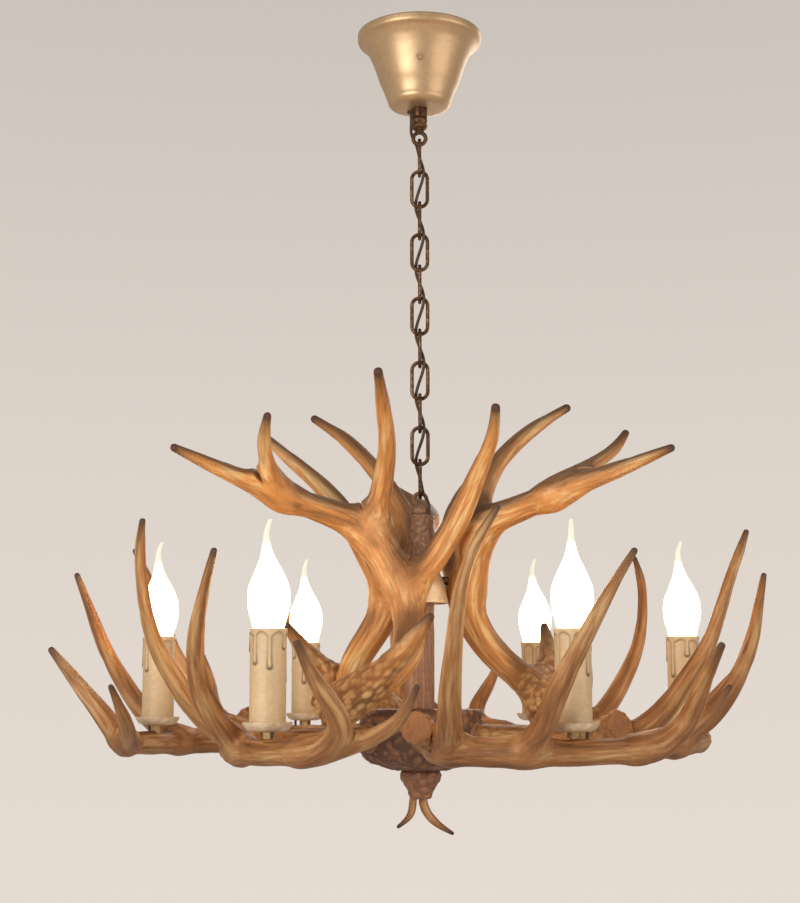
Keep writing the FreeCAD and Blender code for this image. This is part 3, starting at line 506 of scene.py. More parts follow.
def coronet_ring(branch, at_root):
    """Uneven bead round a sawn end."""
    end = 3 if at_root else len(branch.curve) - 4
    axis, centre = branch.tangent[end], branch.curve[end]
    radius = branch.radii[end] - 0.4 * CORONET * MM
    around, section = 40, 10
    bead = []
    for k in range(around):
        turn = 2 * math.pi * k / around
        out = branch.side[end] * math.cos(turn) + branch.third[end] * math.sin(turn)
        thick = CORONET * MM * (1.0 + 0.28 * noise.noise(Vector((k * 0.9, branch.number, 4.0))))
        for j in range(section):
            a = 2 * math.pi * j / section
            bead.append(centre + out * radius + (out * math.cos(a) + axis * math.sin(a)) * thick)
    return np.array(bead), ring_faces(around, section)


def antler(name, branches, voxel, web, settings, cut_ends=()):
    """Cast antler: one even skin over its branches, with webs, grooves, pearls and coronets."""
    drawn = [Branch(*b, number=i) for i, b in enumerate(branches)]
    points, faces = joined([b.skin() for b in drawn] + [coronet_ring(drawn[n], root) for n, root in cut_ends])
    draft = solid_piece(name + "_draft", points, faces)
    skin = draft.modifiers.new("skin", "REMESH")
    skin.mode, skin.voxel_size, skin.adaptivity = "VOXEL", voxel, 0
    graph = bpy.context.evaluated_depsgraph_get()
    mesh = bpy.data.meshes.new_from_object(draft.evaluated_get(graph))
    bpy.data.objects.remove(draft)
    count = len(mesh.vertices)
    edges = np.empty(len(mesh.edges) * 2, int)
    mesh.edges.foreach_get("vertices", edges)
    edges = edges.reshape(-1, 2)
    points = soften(mesh_values(mesh, "co"), edges, 3)
    points = soften(run_together(points, drawn, web), edges, 2)
    mesh.vertices.foreach_set("co", points.ravel())
    mesh.update()
    normals = mesh_values(mesh, "normal")
    found = [b.nearest(points) for b in drawn]
    gaps = np.stack([f[0] for f in found], -1)
    order = np.argsort(gaps, axis=1)
    finish, grain = np.zeros((count, 4)), np.zeros((count, 3))
    tip, sawn, join = np.zeros(count), np.zeros(count), np.zeros(count)
    blend_width, tip_reach, branch_shift = 7 * MM, 70 * MM, 0.31
    for i in range(count):
        first = order[i, 0]
        b = drawn[first]
        place = found[first][2][i]
        finish[i] = relief_at(b, place, found[first][1][i], settings)
        if len(drawn) > 1:
            second = order[i, 1]
            apart = (gaps[i, second] - gaps[i, first]) / blend_width
            if apart < 1:
                other = relief_at(drawn[second], found[second][2][i], found[second][1][i], settings)
                share = 0.5 * (1 - apart)
                finish[i] = finish[i] * (1 - share) + other * share
                join[i] = 1 - apart
        grain[i] = place[0], place[1], place[2] + b.number * branch_shift
        if b.tipped:
            tip[i] = min(1.0, max(0.0, 1 - (b.length - place[2]) / tip_reach))
        elif place[2] > b.length - 0.5 * MM:
            sawn[i] = 1
    points = points + normals * finish[:, :1]
    mesh.vertices.foreach_set("co", points.ravel())
    # How far each point faces up or down, for the painted shade (partly real staining) on the antlers' upper
    # side or underside
    facing = normals[:, 2] * (1 - finish[:, 2])
    write_values(mesh, {"groove": finish[:, 1], "rough": finish[:, 2], "streak": finish[:, 3], "tip": tip,
                        "sawn": sawn, "facing": facing, "join": join, "grain": grain})
    mesh.shade_smooth()
    mesh.update()
    mesh.transform(Matrix.Translation((0, 0, HUB_MID)))
    return new_piece(name, mesh)


# ---- shader helpers -----------------------------------------------------------------------------------
class Tree:
    """Short way to add and link shader nodes."""

    def __init__(self, tree):
        self.nodes, self.links = tree.nodes, tree.links

    def add(self, kind, settings=None, **inputs):
        node = self.nodes.new(kind)
        for key, value in (settings or {}).items():
            setattr(node, key, value)
        for key, value in inputs.items():
            self.set(node, key.replace("_", " "), value)
        return node

    def set(self, node, socket, value):
        """Link or set an input, which is given by its name or its number."""
        if isinstance(value, bpy.types.NodeSocket):
            self.links.new(value, node.inputs[socket])
        else:
            node.inputs[socket].default_value = value

    def math(self, operation, a, b=0.0, clamp=False):
        node = self.nodes.new("ShaderNodeMath")
        node.operation, node.use_clamp = operation, clamp
        self.set(node, 0, a)
        self.set(node, 1, b)
        return node.outputs[0]

    def scaled(self, value, factor, offset, clamp=False):
        """The value times a factor, plus an offset."""
        return self.math("ADD", self.math("MULTIPLY", value, factor), offset, clamp)

    def mix(self, factor, a, b):
        node = self.nodes.new("ShaderNodeMix")
        node.data_type = "RGBA"
        for index, value in ((0, factor), (6, a), (7, b)):
            self.set(node, index, value)
        return node.outputs[2]

    def ramp(self, factor, stops):
        node = self.nodes.new("ShaderNodeValToRGB")
        elements = node.color_ramp.elements
        while len(elements) < len(stops):
            elements.new(0.5)
        for element, (place, colour) in zip(elements, stops):
            element.position, element.color = place, colour
        self.links.new(factor, node.inputs[0])
        return node.outputs[0]

    def noise(self, vector, scale, detail=4.0, roughness=0.55):
        node = self.nodes.new("ShaderNodeTexNoise")
        node.inputs["Scale"].default_value = scale
        node.inputs["Detail"].default_value = detail
        node.inputs["Roughness"].default_value = roughness
        if vector is not None:
            self.links.new(vector, node.inputs["Vector"])
        return node.outputs["Fac"]

    def attribute(self, label, output="Fac"):
        return self.add("ShaderNodeAttribute", {"attribute_name": label}).outputs[output]

    def stretched(self, vector, scale):
        node = self.nodes.new("ShaderNodeMapping")
        self.links.new(vector, node.inputs["Vector"])
        node.inputs["Scale"].default_value = scale
        return node.outputs[0]


def effect_group(name, inputs, outputs, build):
    """Shader node group, built once. An input is (name, type, default) and an output a name."""
    if name in bpy.data.node_groups:
        return bpy.data.node_groups[name]
    group = bpy.data.node_groups.new(name, "ShaderNodeTree")
    for label, kind, default in inputs:
        socket = group.interface.new_socket(label, in_out="INPUT", socket_type=kind)
        if default is not None:
            socket.default_value = default
    for label in outputs:
        group.interface.new_socket(label, in_out="OUTPUT", socket_type="NodeSocketFloat")
    build(Tree(group), group.nodes.new("NodeGroupInput"), group.nodes.new("NodeGroupOutput"))
    return group


def use_group(tree, group, **inputs):
    """A shader node group placed in a material, with its own values."""
    node = tree.nodes.new("ShaderNodeGroup")
    node.node_tree = group
    for key, value in inputs.items():
        tree.set(node, key.replace("_", " "), value)
    return node


def fibre_group():
    """Long streaks and fine fibres along a cast branch, from its straightened place."""
    def build(t, inside, outside):
        place = inside.outputs["Place"]
        broad = t.noise(t.stretched(place, (130, 130, 13)), 1.0, 3)
        fine = t.noise(t.stretched(place, (430, 430, 42)), 1.0, 4, 0.65)
        patch = t.noise(t.stretched(place, (34, 34, 22)), 1.0, 2)
        mixed = t.scaled(broad, 0.38, t.math("MULTIPLY", fine, 0.38))
        mixed = t.math("ADD", mixed, t.math("MULTIPLY", patch, 0.24))
        spread = t.scaled(t.math("SUBTRACT", mixed, 0.5), inside.outputs["Contrast"], 0.5, True)
        for label, value in (("Streak", spread), ("Fibre", fine), ("Patch", patch)):
            t.links.new(value, outside.inputs[label])
    return effect_group("Cast fibre",
                        [("Place", "NodeSocketVector", None), ("Contrast", "NodeSocketFloat", 1.0)],
                        ("Streak", "Fibre", "Patch"), build)


def patina_group():
    """Uneven patina: a mask of rubbed places, a fine grain height and a soft cloud."""
    def build(t, inside, outside):
        place = t.nodes.new("ShaderNodeTexCoord").outputs["Object"]
        cloud = t.noise(place, 60.0, 5, 0.6)
        grain = t.noise(place, 900.0, 3, 0.6)
        specks = t.math("SUBTRACT", t.noise(place, 240.0, 4, 0.65), 0.5)
        mask = t.scaled(specks, 2.6, t.math("MULTIPLY", t.math("SUBTRACT", cloud, 0.5), 1.4))
        mask = t.math("ADD", mask, inside.outputs["Amount"], True)
        for label, value in (("Mask", mask), ("Grain", grain), ("Cloud", cloud)):
            t.links.new(value, outside.inputs[label])
    return effect_group("Patina", [("Amount", "NodeSocketFloat", 0.5)], ("Mask", "Grain", "Cloud"), build)


def new_material(name):
    material = bpy.data.materials.new(name)
    material.use_nodes = True
    material.node_tree.nodes.clear()
    tree = Tree(material.node_tree)
    shader = tree.nodes.new("ShaderNodeBsdfPrincipled")
    out = tree.nodes.new("ShaderNodeOutputMaterial")
    tree.links.new(shader.outputs[0], out.inputs[0])
    return material, tree, shader


def bump(tree, height, distance, strength=1.0):
    node = tree.nodes.new("ShaderNodeBump")
    node.inputs["Distance"].default_value = distance
    node.inputs["Strength"].default_value = strength
    tree.links.new(height, node.inputs["Height"])
    return node.outputs[0]


def shaded(colour, factor):
    """The same colour, lighter or darker."""
    return tuple(c * factor for c in colour[:3]) + (1,)


def antler_material(name, settings, tip_colour, grey, side_stain_and_shade):
    """Stained cast resin with light and dark streaks, dark grooves, dark tips, painted highlights on the
    pearls and painted shade.

    The share of the duller, darker tan is painted shade, mostly on the lower antlers, which sit away from the
    warm lamps. A positive side value paints shade, partly real staining, on the upper side, and a negative
    one on the underside.
    """
    material, t, shader = new_material(name)
    dark, middle, light = settings.dark, settings.middle, settings.light
    groove, tip, rough, streak, sawn = (
        t.attribute(label) for label in ("groove", "tip", "rough", "streak", "sawn"))
    fibre = use_group(t, fibre_group(), Place=t.attribute("grain", "Vector"), Contrast=3.4)
    streaks, fine, patch = (fibre.outputs[label] for label in ("Streak", "Fibre", "Patch"))
    calm = t.math("SUBTRACT", 1.0, t.attribute("join"))
    mixed = t.math("MULTIPLY", t.math("SUBTRACT", streaks, 0.5), t.math("MULTIPLY", calm, 0.62))
    along = t.math("ADD", mixed, streak, True)
    honey = t.ramp(along, [(0.12, shaded(middle, 0.50)), (0.34, shaded(middle, 0.82)), (0.52, middle),
                           (0.72, shaded(light, 0.85)), (0.92, light)])
    # Duller, darker tan: painted shade, given mostly to the lower antlers, which sit away from the warm lamps
    tan = t.ramp(along, [(0.18, (0.10, 0.034, 0.010, 1)), (0.46, (0.245, 0.094, 0.029, 1)),
                         (0.80, (0.52, 0.28, 0.105, 1))])
    tone = t.mix(grey, honey, tan)
    # Painted shade by facing, partly real staining: the upper side darkens on the upper antlers, the
    # underside on the lower ones
    lean = 0.05 if side_stain_and_shade > 0 else 0.0
    side = t.math("MULTIPLY", t.math("ADD", t.attribute("facing"), lean), 2.0 * side_stain_and_shade, True)
    tone = t.mix(t.math("MULTIPLY", side, abs(side_stain_and_shade)), tone, (0.13, 0.062, 0.028, 1))
    tone = t.mix(t.math("MULTIPLY", groove, t.math("ADD", patch, 0.4), True), tone, dark)
    burnt = t.math("MULTIPLY", rough, t.math("SUBTRACT", 1.0, fine), True)
    tone = t.mix(t.math("MULTIPLY", burnt, 0.8), tone, shaded(middle, 0.4))
    # Painted highlight on the tops of the pearls, where they are not in a groove
    pearl = t.math("MULTIPLY", t.math("SUBTRACT", rough, groove, True), 0.4)
    tone = t.mix(pearl, tone, shaded(light, 0.95))
    tone = t.mix(sawn, tone, t.mix(fine, shaded(settings.cut, 0.6), shaded(settings.cut, 1.3)))
    tone = t.mix(t.math("POWER", tip, 4.5, True), tone, tip_colour)
    t.links.new(tone, shader.inputs["Base Color"])
    gloss = t.scaled(fine, 0.22, 0.34)
    gloss = t.math("ADD", gloss, t.math("MULTIPLY", groove, 0.18), True)
    t.links.new(gloss, shader.inputs["Roughness"])
    shader.inputs["Specular IOR Level"].default_value = 0.45
    height = t.math("ADD", fine, t.math("MULTIPLY", streaks, 0.6))
    t.links.new(bump(t, t.math("MULTIPLY", height, calm), 0.9 * MM), shader.inputs["Normal"])
    return material


def patinated(name, amount):
    """New material with its tree and shader, and the mask, grain and cloud of a patina."""
    material, t, shader = new_material(name)
    patina = use_group(t, patina_group(), Amount=amount)
    return (material, t, shader, *(patina.outputs[label] for label in ("Mask", "Grain", "Cloud")))


def connect(t, shader, colour, roughness, height, depth, strength=1.0):
    """Link what changes over a surface: its colour, roughness and fine relief."""
    t.links.new(colour, shader.inputs["Base Color"])
    t.links.new(roughness, shader.inputs["Roughness"])
    t.links.new(bump(t, height, depth, strength), shader.inputs["Normal"])


def resin_material(name, dark, light):
    """Rough bark-like resin: dark on its sharp ridges and paler where it's pressed in."""
    material, t, shader, mask, grain, cloud = patinated(name, 0.5)
    pale = t.scaled(t.attribute("relief"), 480.0, 0.5, True)
    pale = t.math("MULTIPLY", pale, t.scaled(mask, 0.55, 0.5), True)
    height = t.math("ADD", cloud, t.math("MULTIPLY", grain, 0.3))
    connect(t, shader, t.mix(pale, dark, light), t.scaled(grain, 0.3, 0.38), height, 0.7 * MM)
    return material


def metal_material(name, base, rubbed, roughness, metallic=1.0, amount=0.25, depth=0.05):
    """Metal with a patina, rubbed places and a fine grain of the given depth in mm."""
    material, t, shader, mask, grain, cloud = patinated(name, amount)
    shader.inputs["Metallic"].default_value = metallic
    connect(t, shader, t.mix(mask, base, rubbed), t.scaled(cloud, 0.16, roughness - 0.08), grain,
            depth * MM, 0.6)
    return material


def plastic_material(name, base, roughness=0.5, depth=0.08):
    """Moulded plastic or rubber with a faint mottling of the given depth in mm."""
    material, t, shader, mask, grain, _ = patinated(name, 0.4)
    connect(t, shader, t.mix(mask, shaded(base, 0.88), base), t.scaled(grain, 0.2, roughness - 0.1),
            grain, depth * MM, 0.5)
    return material


def wax_material(wax, line):
    """Cream candle sleeve with painted drip lines and a warm, uneven tone."""
    material, t, shader, mask, grain, cloud = patinated("candle_wax", 0.45)
    tone = t.mix(mask, shaded(wax, 0.86), wax)
    tone = t.mix(t.math("MULTIPLY", t.attribute("layer"), 0.35), tone, shaded(wax, 1.12))
    tone = t.mix(t.math("MULTIPLY", t.attribute("line"), 0.92), tone, line)
    connect(t, shader, tone, t.scaled(grain, 0.15, 0.35), cloud, 0.3 * MM, 0.5)
    return material


def lamp_material(glow, strength):
    """Lit frosted glass, dimmer and paler in its drawn tip."""
    material, t, shader = new_material("lit_glass")
    cloud = t.noise(t.nodes.new("ShaderNodeTexCoord").outputs["Object"], 70.0, 2)
    tail = t.attribute("tail")
    frost = t.mix(cloud, (0.93, 0.90, 0.84, 1), (1, 0.97, 0.92, 1))
    t.links.new(t.mix(tail, frost, (0.24, 0.22, 0.18, 1)), shader.inputs["Base Color"])
    faint = tuple(c / strength for c in (0.74, 0.70, 0.56)) + (1,)
    emission = t.mix(tail, t.mix(cloud, shaded(glow, 0.94), glow), faint)
    t.links.new(emission, shader.inputs["Emission Color"])
    shader.inputs["Emission Strength"].default_value = strength
    t.links.new(t.scaled(cloud, 0.1, 0.22), shader.inputs["Roughness"])
    return material


# ---- operators ------------------------------------------------------------------------------------------
class CHANDELIER_OT_stage(bpy.types.Operator):
    """Backdrop, floor, lamps and the photograph's camera."""
    bl_idname = "chandelier.stage"
    bl_label = "Stage"

    def execute(self, context):
        scene = context.scene
        s = scene.stage_settings
        scene.view_settings.view_transform = "Standard"
        world = bpy.data.worlds.new("pale_room")
        scene.world = world
        world.use_nodes = True
        t = Tree(world.node_tree)
        t.nodes.clear()
        rays = t.nodes.new("ShaderNodeLightPath")
        seen = t.math("MAXIMUM", rays.outputs["Is Camera Ray"], rays.outputs["Is Transmission Ray"])
        way = t.nodes.new("ShaderNodeTexCoord").outputs["Generated"]
        height = t.nodes.new("ShaderNodeSeparateXYZ")
        t.links.new(way, height.inputs[0])
        level = t.scaled(height.outputs["Z"], 0.5, 0.5)
        shade = t.ramp(level, [(0.43, shaded(s.backdrop, 1.10)), (0.57, s.backdrop),
                               (0.70, shaded(s.backdrop, 0.84))])
        room = t.ramp(level, [(0.0, shaded(s.backdrop, 1.15)), (0.5, s.backdrop),
                              (1.0, shaded(s.backdrop, 0.6))])
        plain = t.add("ShaderNodeBackground", Color=room, Strength=s.ambient)
        backdrop = t.add("ShaderNodeBackground", Color=shade, Strength=1.0)
        mixer = t.nodes.new("ShaderNodeMixShader")
        t.links.new(seen, mixer.inputs[0])
        t.links.new(plain.outputs[0], mixer.inputs[1])
        t.links.new(backdrop.outputs[0], mixer.inputs[2])
        out = t.nodes.new("ShaderNodeOutputWorld")
        t.links.new(mixer.outputs[0], out.inputs[0])

        half, floor_level = 1.5, -1.25
        corners = [(x * half, y * half, floor_level) for x, y in ((-1, -1), (1, -1), (1, 1), (-1, 1))]
        floor = add_mesh("floor", corners, [(0, 1, 2, 3)])
        material, ft, shader = new_material("pale_floor")
        tone = ft.mix(ft.noise(None, 30.0), shaded(s.backdrop, 0.97), s.backdrop)
        ft.links.new(tone, shader.inputs["Base Color"])
        shader.inputs["Roughness"].default_value = 0.85
        floor.data.materials.append(material)

        for name, place, aim, size, power, colour in (
                ("key", (-1.0, -1.5, -0.25), (0, 0, -0.55), 1.2, s.key, (1, 0.97, 0.93)),
                ("fill", (1.4, -0.9, -0.3), (0, 0, -0.6), 1.4, s.fill, (1, 0.95, 0.90)),
                ("back", (0.5, 1.5, 0.1), (0, 0, -0.5), 1.2, s.fill, (1, 0.95, 0.90))):
            lamp = bpy.data.lights.new(name, "AREA")
            lamp.energy, lamp.size, lamp.color = power, size, colour
            holder = bpy.data.objects.new(name, lamp)
            holder.location = place
            holder.rotation_euler = (Vector(aim) - Vector(place)).to_track_quat("-Z", "Y").to_euler()
            scene.collection.objects.link(holder)

        # The camera: the chandelier's axis is a little right of the picture's middle, and the
        # horizon is well below it, so the camera looks up without any shift.
        focal_px, picture_high = 1601.0, 903.0
        axis_right_px, horizon_px = 20.3, 233.5
        distance, eye_drop = 1.540, 0.648
        camera = bpy.data.cameras.new("photo_view")
        camera.sensor_width = 36.0
        camera.lens = focal_px / picture_high * camera.sensor_width
        viewer = bpy.data.objects.new("photo_view", camera)
        viewer.location = (0, -distance, -eye_drop)
        viewer.rotation_euler = (math.radians(90) + math.atan(horizon_px / focal_px), 0,
                                 math.atan(axis_right_px / focal_px))
        scene.collection.objects.link(viewer)
        scene.camera = viewer
        return {"FINISHED"}


def antler_set(kind, count, branches, web, cut_end, material, settings):
    """Castings of one kind: one shape, turned by equal steps."""
    first = antler(kind + "_a", branches, settings.voxel, web * MM, settings, [cut_end])
    for i in range(count):
        name = "%s_%s" % (kind, "abcdef"[i])
        piece = first if i == 0 else copy_piece(first, name, turned_step(i, count))
        dress(piece, material, "fixture", "resin_antler", "%s_%d" % (kind, i + 1))


class CHANDELIER_OT_lower_antlers(bpy.types.Operator):
    """The six lower antlers, with a sawn end on each brow stub."""
    bl_idname = "chandelier.lower_antlers"
    bl_label = "Lower antlers"

    def execute(self, context):
        s = context.scene.antler_settings
        # Painted shade: mostly the duller, darker tan, and a darker underside
        material = antler_material("lower_antler_resin", s, (0.10, 0.05, 0.025, 1), grey=0.72, side_stain_and_shade=-0.45)
        antler_set("lower_antler", LIGHTS, LOWER_BRANCHES, LOWER_WEB, (4, False), material, s)
        return {"FINISHED"}


class CHANDELIER_OT_upper_antlers(bpy.types.Operator):
    """The three upper antlers, with a burr at each root."""
    bl_idname = "chandelier.upper_antlers"
    bl_label = "Upper antlers"

    def execute(self, context):
        s = context.scene.antler_settings
        # Painted shade on the upper side
        material = antler_material("upper_antler_resin", s, (0.09, 0.04, 0.02, 1), grey=0.05, side_stain_and_shade=0.85)
        antler_set("upper_antler", UPPERS, UPPER_BRANCHES, UPPER_WEB, (0, True), material, s)
        return {"FINISHED"}


class CHANDELIER_OT_ceiling_fitting(bpy.types.Operator):
    """Bell canopy, its boss, loop and side screws."""
    bl_idname = "chandelier.ceiling_fitting"
    bl_label = "Ceiling fitting"

    def execute(self, context):
        s = context.scene.metal_settings
        gold = metal_material("champagne_lacquer", shaded(s.canopy, 0.93), shaded(s.canopy, 1.06),
                              roughness=0.40, metallic=0.72, amount=0.5)
        bronze = metal_material("dark_bronze", s.bronze, (0.34, 0.20, 0.10, 1),
                                roughness=0.42, metallic=0.85, amount=0.10, depth=0.25)
        outer = [(0.0, -76), (12, -76), (24, -75.8), (28.5, -74.6), (30.6, -72.2), (31.2, -71.5),
                 (31.2, -69.2), (32.2, -68.2), (35.6, -58), (39.4, -50), (43.2, -38), (48, -25),
                 (52.6, -15.5), (57.6, -9.6), (61, -7.6), (62, -6.2), (62, -0.1)]
        inner = [(60.7, -0.1), (60.7, -5.6), (56.6, -8.0), (51, -15), (46.6, -25), (41.8, -38), (38, -50),
                 (30.9, -68), (28, -73), (0.0, -74.6)]
        path = np.concatenate([round_profile(outer, 1.2), round_profile(inner, 3)])
        dress(turned_piece("canopy_bell", path, 128), gold, "ceiling", "canopy_gold", "canopy")

        low, top = levels("canopy_loop")
        collar = [(0, top)] + [(radius, top - drop) for radius, drop in (
            (5.2, 0), (7.4, 0.4), (8, 1.4), (8, 4.6), (7.2, 5.4), (7.2, 6.2), (8, 7), (8, 9.8), (7.2, 11),
            (5.4, 12.4), (3.6, 14.6), (3.2, 16.2), (0, 16.4))]
        points, faces = joined([lathe(round_profile(collar, 0.6), 48)[:2], loop_ring(low + LOOP_OUT)])
        loop = solid_piece("canopy_loop_cast", points, faces)
        dress(loop, bronze, "ceiling", "bronze", "canopy_loop")
        use_on_nodes(bronze, "canopy_boss")
        use_on_nodes(gold, "canopy_screws")
        return {"FINISHED"}


class CHANDELIER_OT_chain(bpy.types.Operator):
    """Eleven cast links, each a slightly uneven rounded oblong."""
    bl_idname = "chandelier.chain"
    bl_label = "Chain"

    def execute(self, context):
        bronze = bpy.data.materials["dark_bronze"]
        for i in range(1, LINKS + 1):
            node = "chain_link_%02d" % i
            low, high = (Vector(c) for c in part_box(node))
            middle, size = (low + high) / 2, high - low
            wire = min(size.x, size.y) / 2
            bend = max(size.x, size.y) / 2 - wire
            leg = size.z / 2 - wire - bend
            path, arc, straight = [], 24, 12
            for start, half in ((0, 1), (math.pi, -1)):
                for k in range(arc):
                    a = start + math.pi * k / (arc - 1)
                    path.append((bend * math.cos(a), half * leg + bend * math.sin(a)))
                path += [(-half * bend, half * (leg - 2 * leg * k / straight)) for k in range(1, straight)]
            points = []
            count, around = len(path), 18
            for k, (across, up) in enumerate(path):
                ahead = Vector(path[(k + 1) % count]) - Vector(path[k - 1])
                normal = Vector((ahead.y, -ahead.x)).normalized()
                for j in range(around):
                    b = 2 * math.pi * j / around
                    place = (across * 500, up * 500, j * 0.35 + i * 3.1)
                    radius = wire * (0.965 + 0.035 * noise.noise(Vector(place)))
                    out, aside = radius * math.cos(b), radius * math.sin(b)
                    p = (across + normal.x * out, aside, up + normal.y * out)
                    points.append(p if size.x > size.y else (-p[1], p[0], p[2]))
            points = np.array(points) + np.array(middle)
            piece = solid_piece("link_cast_%02d" % i, points, ring_faces(count, around))
            dress(piece, bronze, "link_%02d" % i, "bronze", node)
        return {"FINISHED"}


class CHANDELIER_OT_cord(bpy.types.Operator):
    """Supply cord woven through the links, in stretches cut at the middle of each link."""
    bl_idname = "chandelier.cord"
    bl_label = "Supply cord"

    def execute(self, context):
        rubber = plastic_material("cord_sleeve", (0.075, 0.04, 0.024, 1), roughness=0.62, depth=0.15)
        use_on_nodes(rubber, "cord_grommet", "candle_leads")
        centres = []
        for i in range(1, LINKS + 1):
            low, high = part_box("chain_link_%02d" % i)
            centres.append((low[2] + high[2]) / 2 / MM)
        pitch = centres[0] - centres[1]
        swing, across = 5.6, (1 / math.sqrt(2), -1 / math.sqrt(2))
        block, hub = levels("terminal_block")[0], levels("top_hub")[1]
        entry = 0.95                   # the cord enters link 1 a little nearer to the axis
        # From the terminal block, down beside the axis, and then to alternate sides of the chain
        route = [(-8, 16, block), (-8, 16, block - 13), (-8.4, 8.5, block - 42), (-8.4, 8.4, -90),
                 (-8.2, 8.2, -99),
                 (-swing * across[0] * entry, -swing * across[1] * entry, centres[0] + pitch / 2)]
        for i, z in enumerate(centres):
            side = 1 if i % 2 == 0 else -1
            route.append((0.2 * side, 0.2, z))
            route.append((side * swing * across[0], side * swing * across[1], z - pitch / 2))
        route += [(8.0, -7.5, hub + 10), (7.0, -6.5, hub - 5)]
        curve, _, _ = natural_spline(np.array(route), 1.6)
        curve = curve * MM
        cuts = [c * MM for c in centres]
        start = 0
        for k in range(LINKS + 1):
            end = int(np.argmax(curve[:, 2] < cuts[k])) if k < LINKS else len(curve) - 1
            part = curve[start:end + 1]
            points, faces = tube(part, np.full(len(part), CORD_R * MM), 16)
            piece = add_mesh("cord_stretch_%02d" % (k + 1), points, faces)
            piece.data.materials.append(rubber)
            if k == 0:
                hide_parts("supply_cord")
            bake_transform(piece)
            start = end
        return {"FINISHED"}


def lumps(size, deep, seed, stretch=1.0):
    """Depths of a bark-like resin casting, pressed in between its sharp ridges; size and deep in mm."""
    def depth(x, y, z, radius):
        p = Vector((x / (size * MM), y / (size * MM), z / (size * MM) / stretch + seed))
        hollow = abs(noise.noise(p)) * 2 - 0.45
        bead = noise.noise(p * 2.7) * 0.5
        fine = noise.noise(p * 6.1) * 0.22
        return deep * MM * (hollow + bead + fine) * min(1.0, radius / (3 * MM))
    return depth


def bark_grooves(x, y, z, radius):
    """Depths of the upright grooves in the column's bark."""
    if radius < 6 * MM:
        return 0.0
    angle = math.atan2(y, x)
    wander = 0.5 * noise.noise(Vector((0, angle, z * 26)))
    p = Vector((math.cos(angle) * 3.2, math.sin(angle) * 3.2, z * 16 + wander))
    hollow = abs(noise.noise(p)) * 2.2 - 0.5
    fine = noise.noise(Vector((x * 420, y * 420, z * 60)))
    return (0.95 * hollow + 0.35 * fine) * 0.9 * MM


def drum_depth(x, y, z, radius):
    """Depths of the knobbly casting on the side and foot of the drum, and of its plain lid."""
    if z > HUB_TOP - 1.2 * MM and radius < (DRUM_R - 1) * MM:
        return 0.12 * MM * noise.noise(Vector((x * 200, y * 200, 0)))
    return lumps(9.0, 1.5, 9.0)(x, y, z, radius) - 0.6 * MM


class CHANDELIER_OT_column(bpy.types.Operator):
    """Body loop, top hub, bell collar and the bark-like column."""
    bl_idname = "chandelier.column"
    bl_label = "Column"

    def execute(self, context):
        s = context.scene.metal_settings
        pearly = resin_material("top_hub_resin", (0.15, 0.068, 0.036, 1), (0.62, 0.35, 0.20, 1))
        bark = resin_material("column_resin", (0.17, 0.08, 0.045, 1), (0.60, 0.33, 0.20, 1))
        pale = metal_material("pale_gold", shaded(s.bell, 0.9), shaded(s.bell, 1.1),
                              roughness=0.40, metallic=0.4, amount=0.5)

        low, high = levels("top_hub")
        profile = [(0, high), (8, high), (11.4, high - 0.8), (12.6, high - 3.4), (12.2, high - 12),
                   (12.7, high - 22), (12.8, low + 1), (12, low), (0, low)]
        hub = turned_piece("top_hub_bark", round_profile(profile, 0.8), 96, lumps(4.6, 1.0, 2.0, 1.3))
        dress(hub, pearly, "fixture", "resin_hub", "top_hub")

        low, high = levels("bell_collar")
        tall = high - low
        outer = [(0, high), (12.5, high), (15.2, high - 1.2), (17, high - 6), (20.4, high - tall * 0.36),
                 (23.8, high - tall * 0.56), (25.6, high - tall * 0.8), (26.9, low + 1.6), (27, low)]
        inner = [(25.4, low), (25.2, low + 1.6), (22.2, low + tall * 0.44), (15.6, high - 6), (0, high - 2)]
        path = np.concatenate([round_profile(outer, 0.9), round_profile(inner, 2)])
        dress(turned_piece("bell_collar_spun", path, 96), pale, "fixture", "bell_gold", "bell_collar")

        low, high = levels("column_sleeve")
        profile = [(0, high), (12.6, high), (13, high - 1.5), (13, low + 1.5), (13, low), (0, low)]
        column = turned_piece("column_bark", round_profile(profile, 1.0), 110, bark_grooves)
        dress(column, bark, "fixture", "resin_hub", "column_sleeve")

        low, high = levels("body_loop")
        neck = [(0, high - 13.2), (4.4, high - 13.4), (7.4, high - 15), (8.6, high - 18), (8.4, low + 7),
                (8.9, low + 3), (9.2, low), (0, low)]
        knobbly, faces, depths = lathe(round_profile(neck, 0.6), 60, lumps(4.2, 0.9, 3.0, 1.2))
        ring = loop_ring(high - LOOP_OUT)
        points, faces = joined([(knobbly, faces), ring])
        depths = np.append(depths, np.zeros(len(ring[0])))
        loop = solid_piece("body_loop_cast", points, faces, {"relief": depths})
        dress(loop, pearly, "fixture", "bronze", "body_loop")
        return {"FINISHED"}


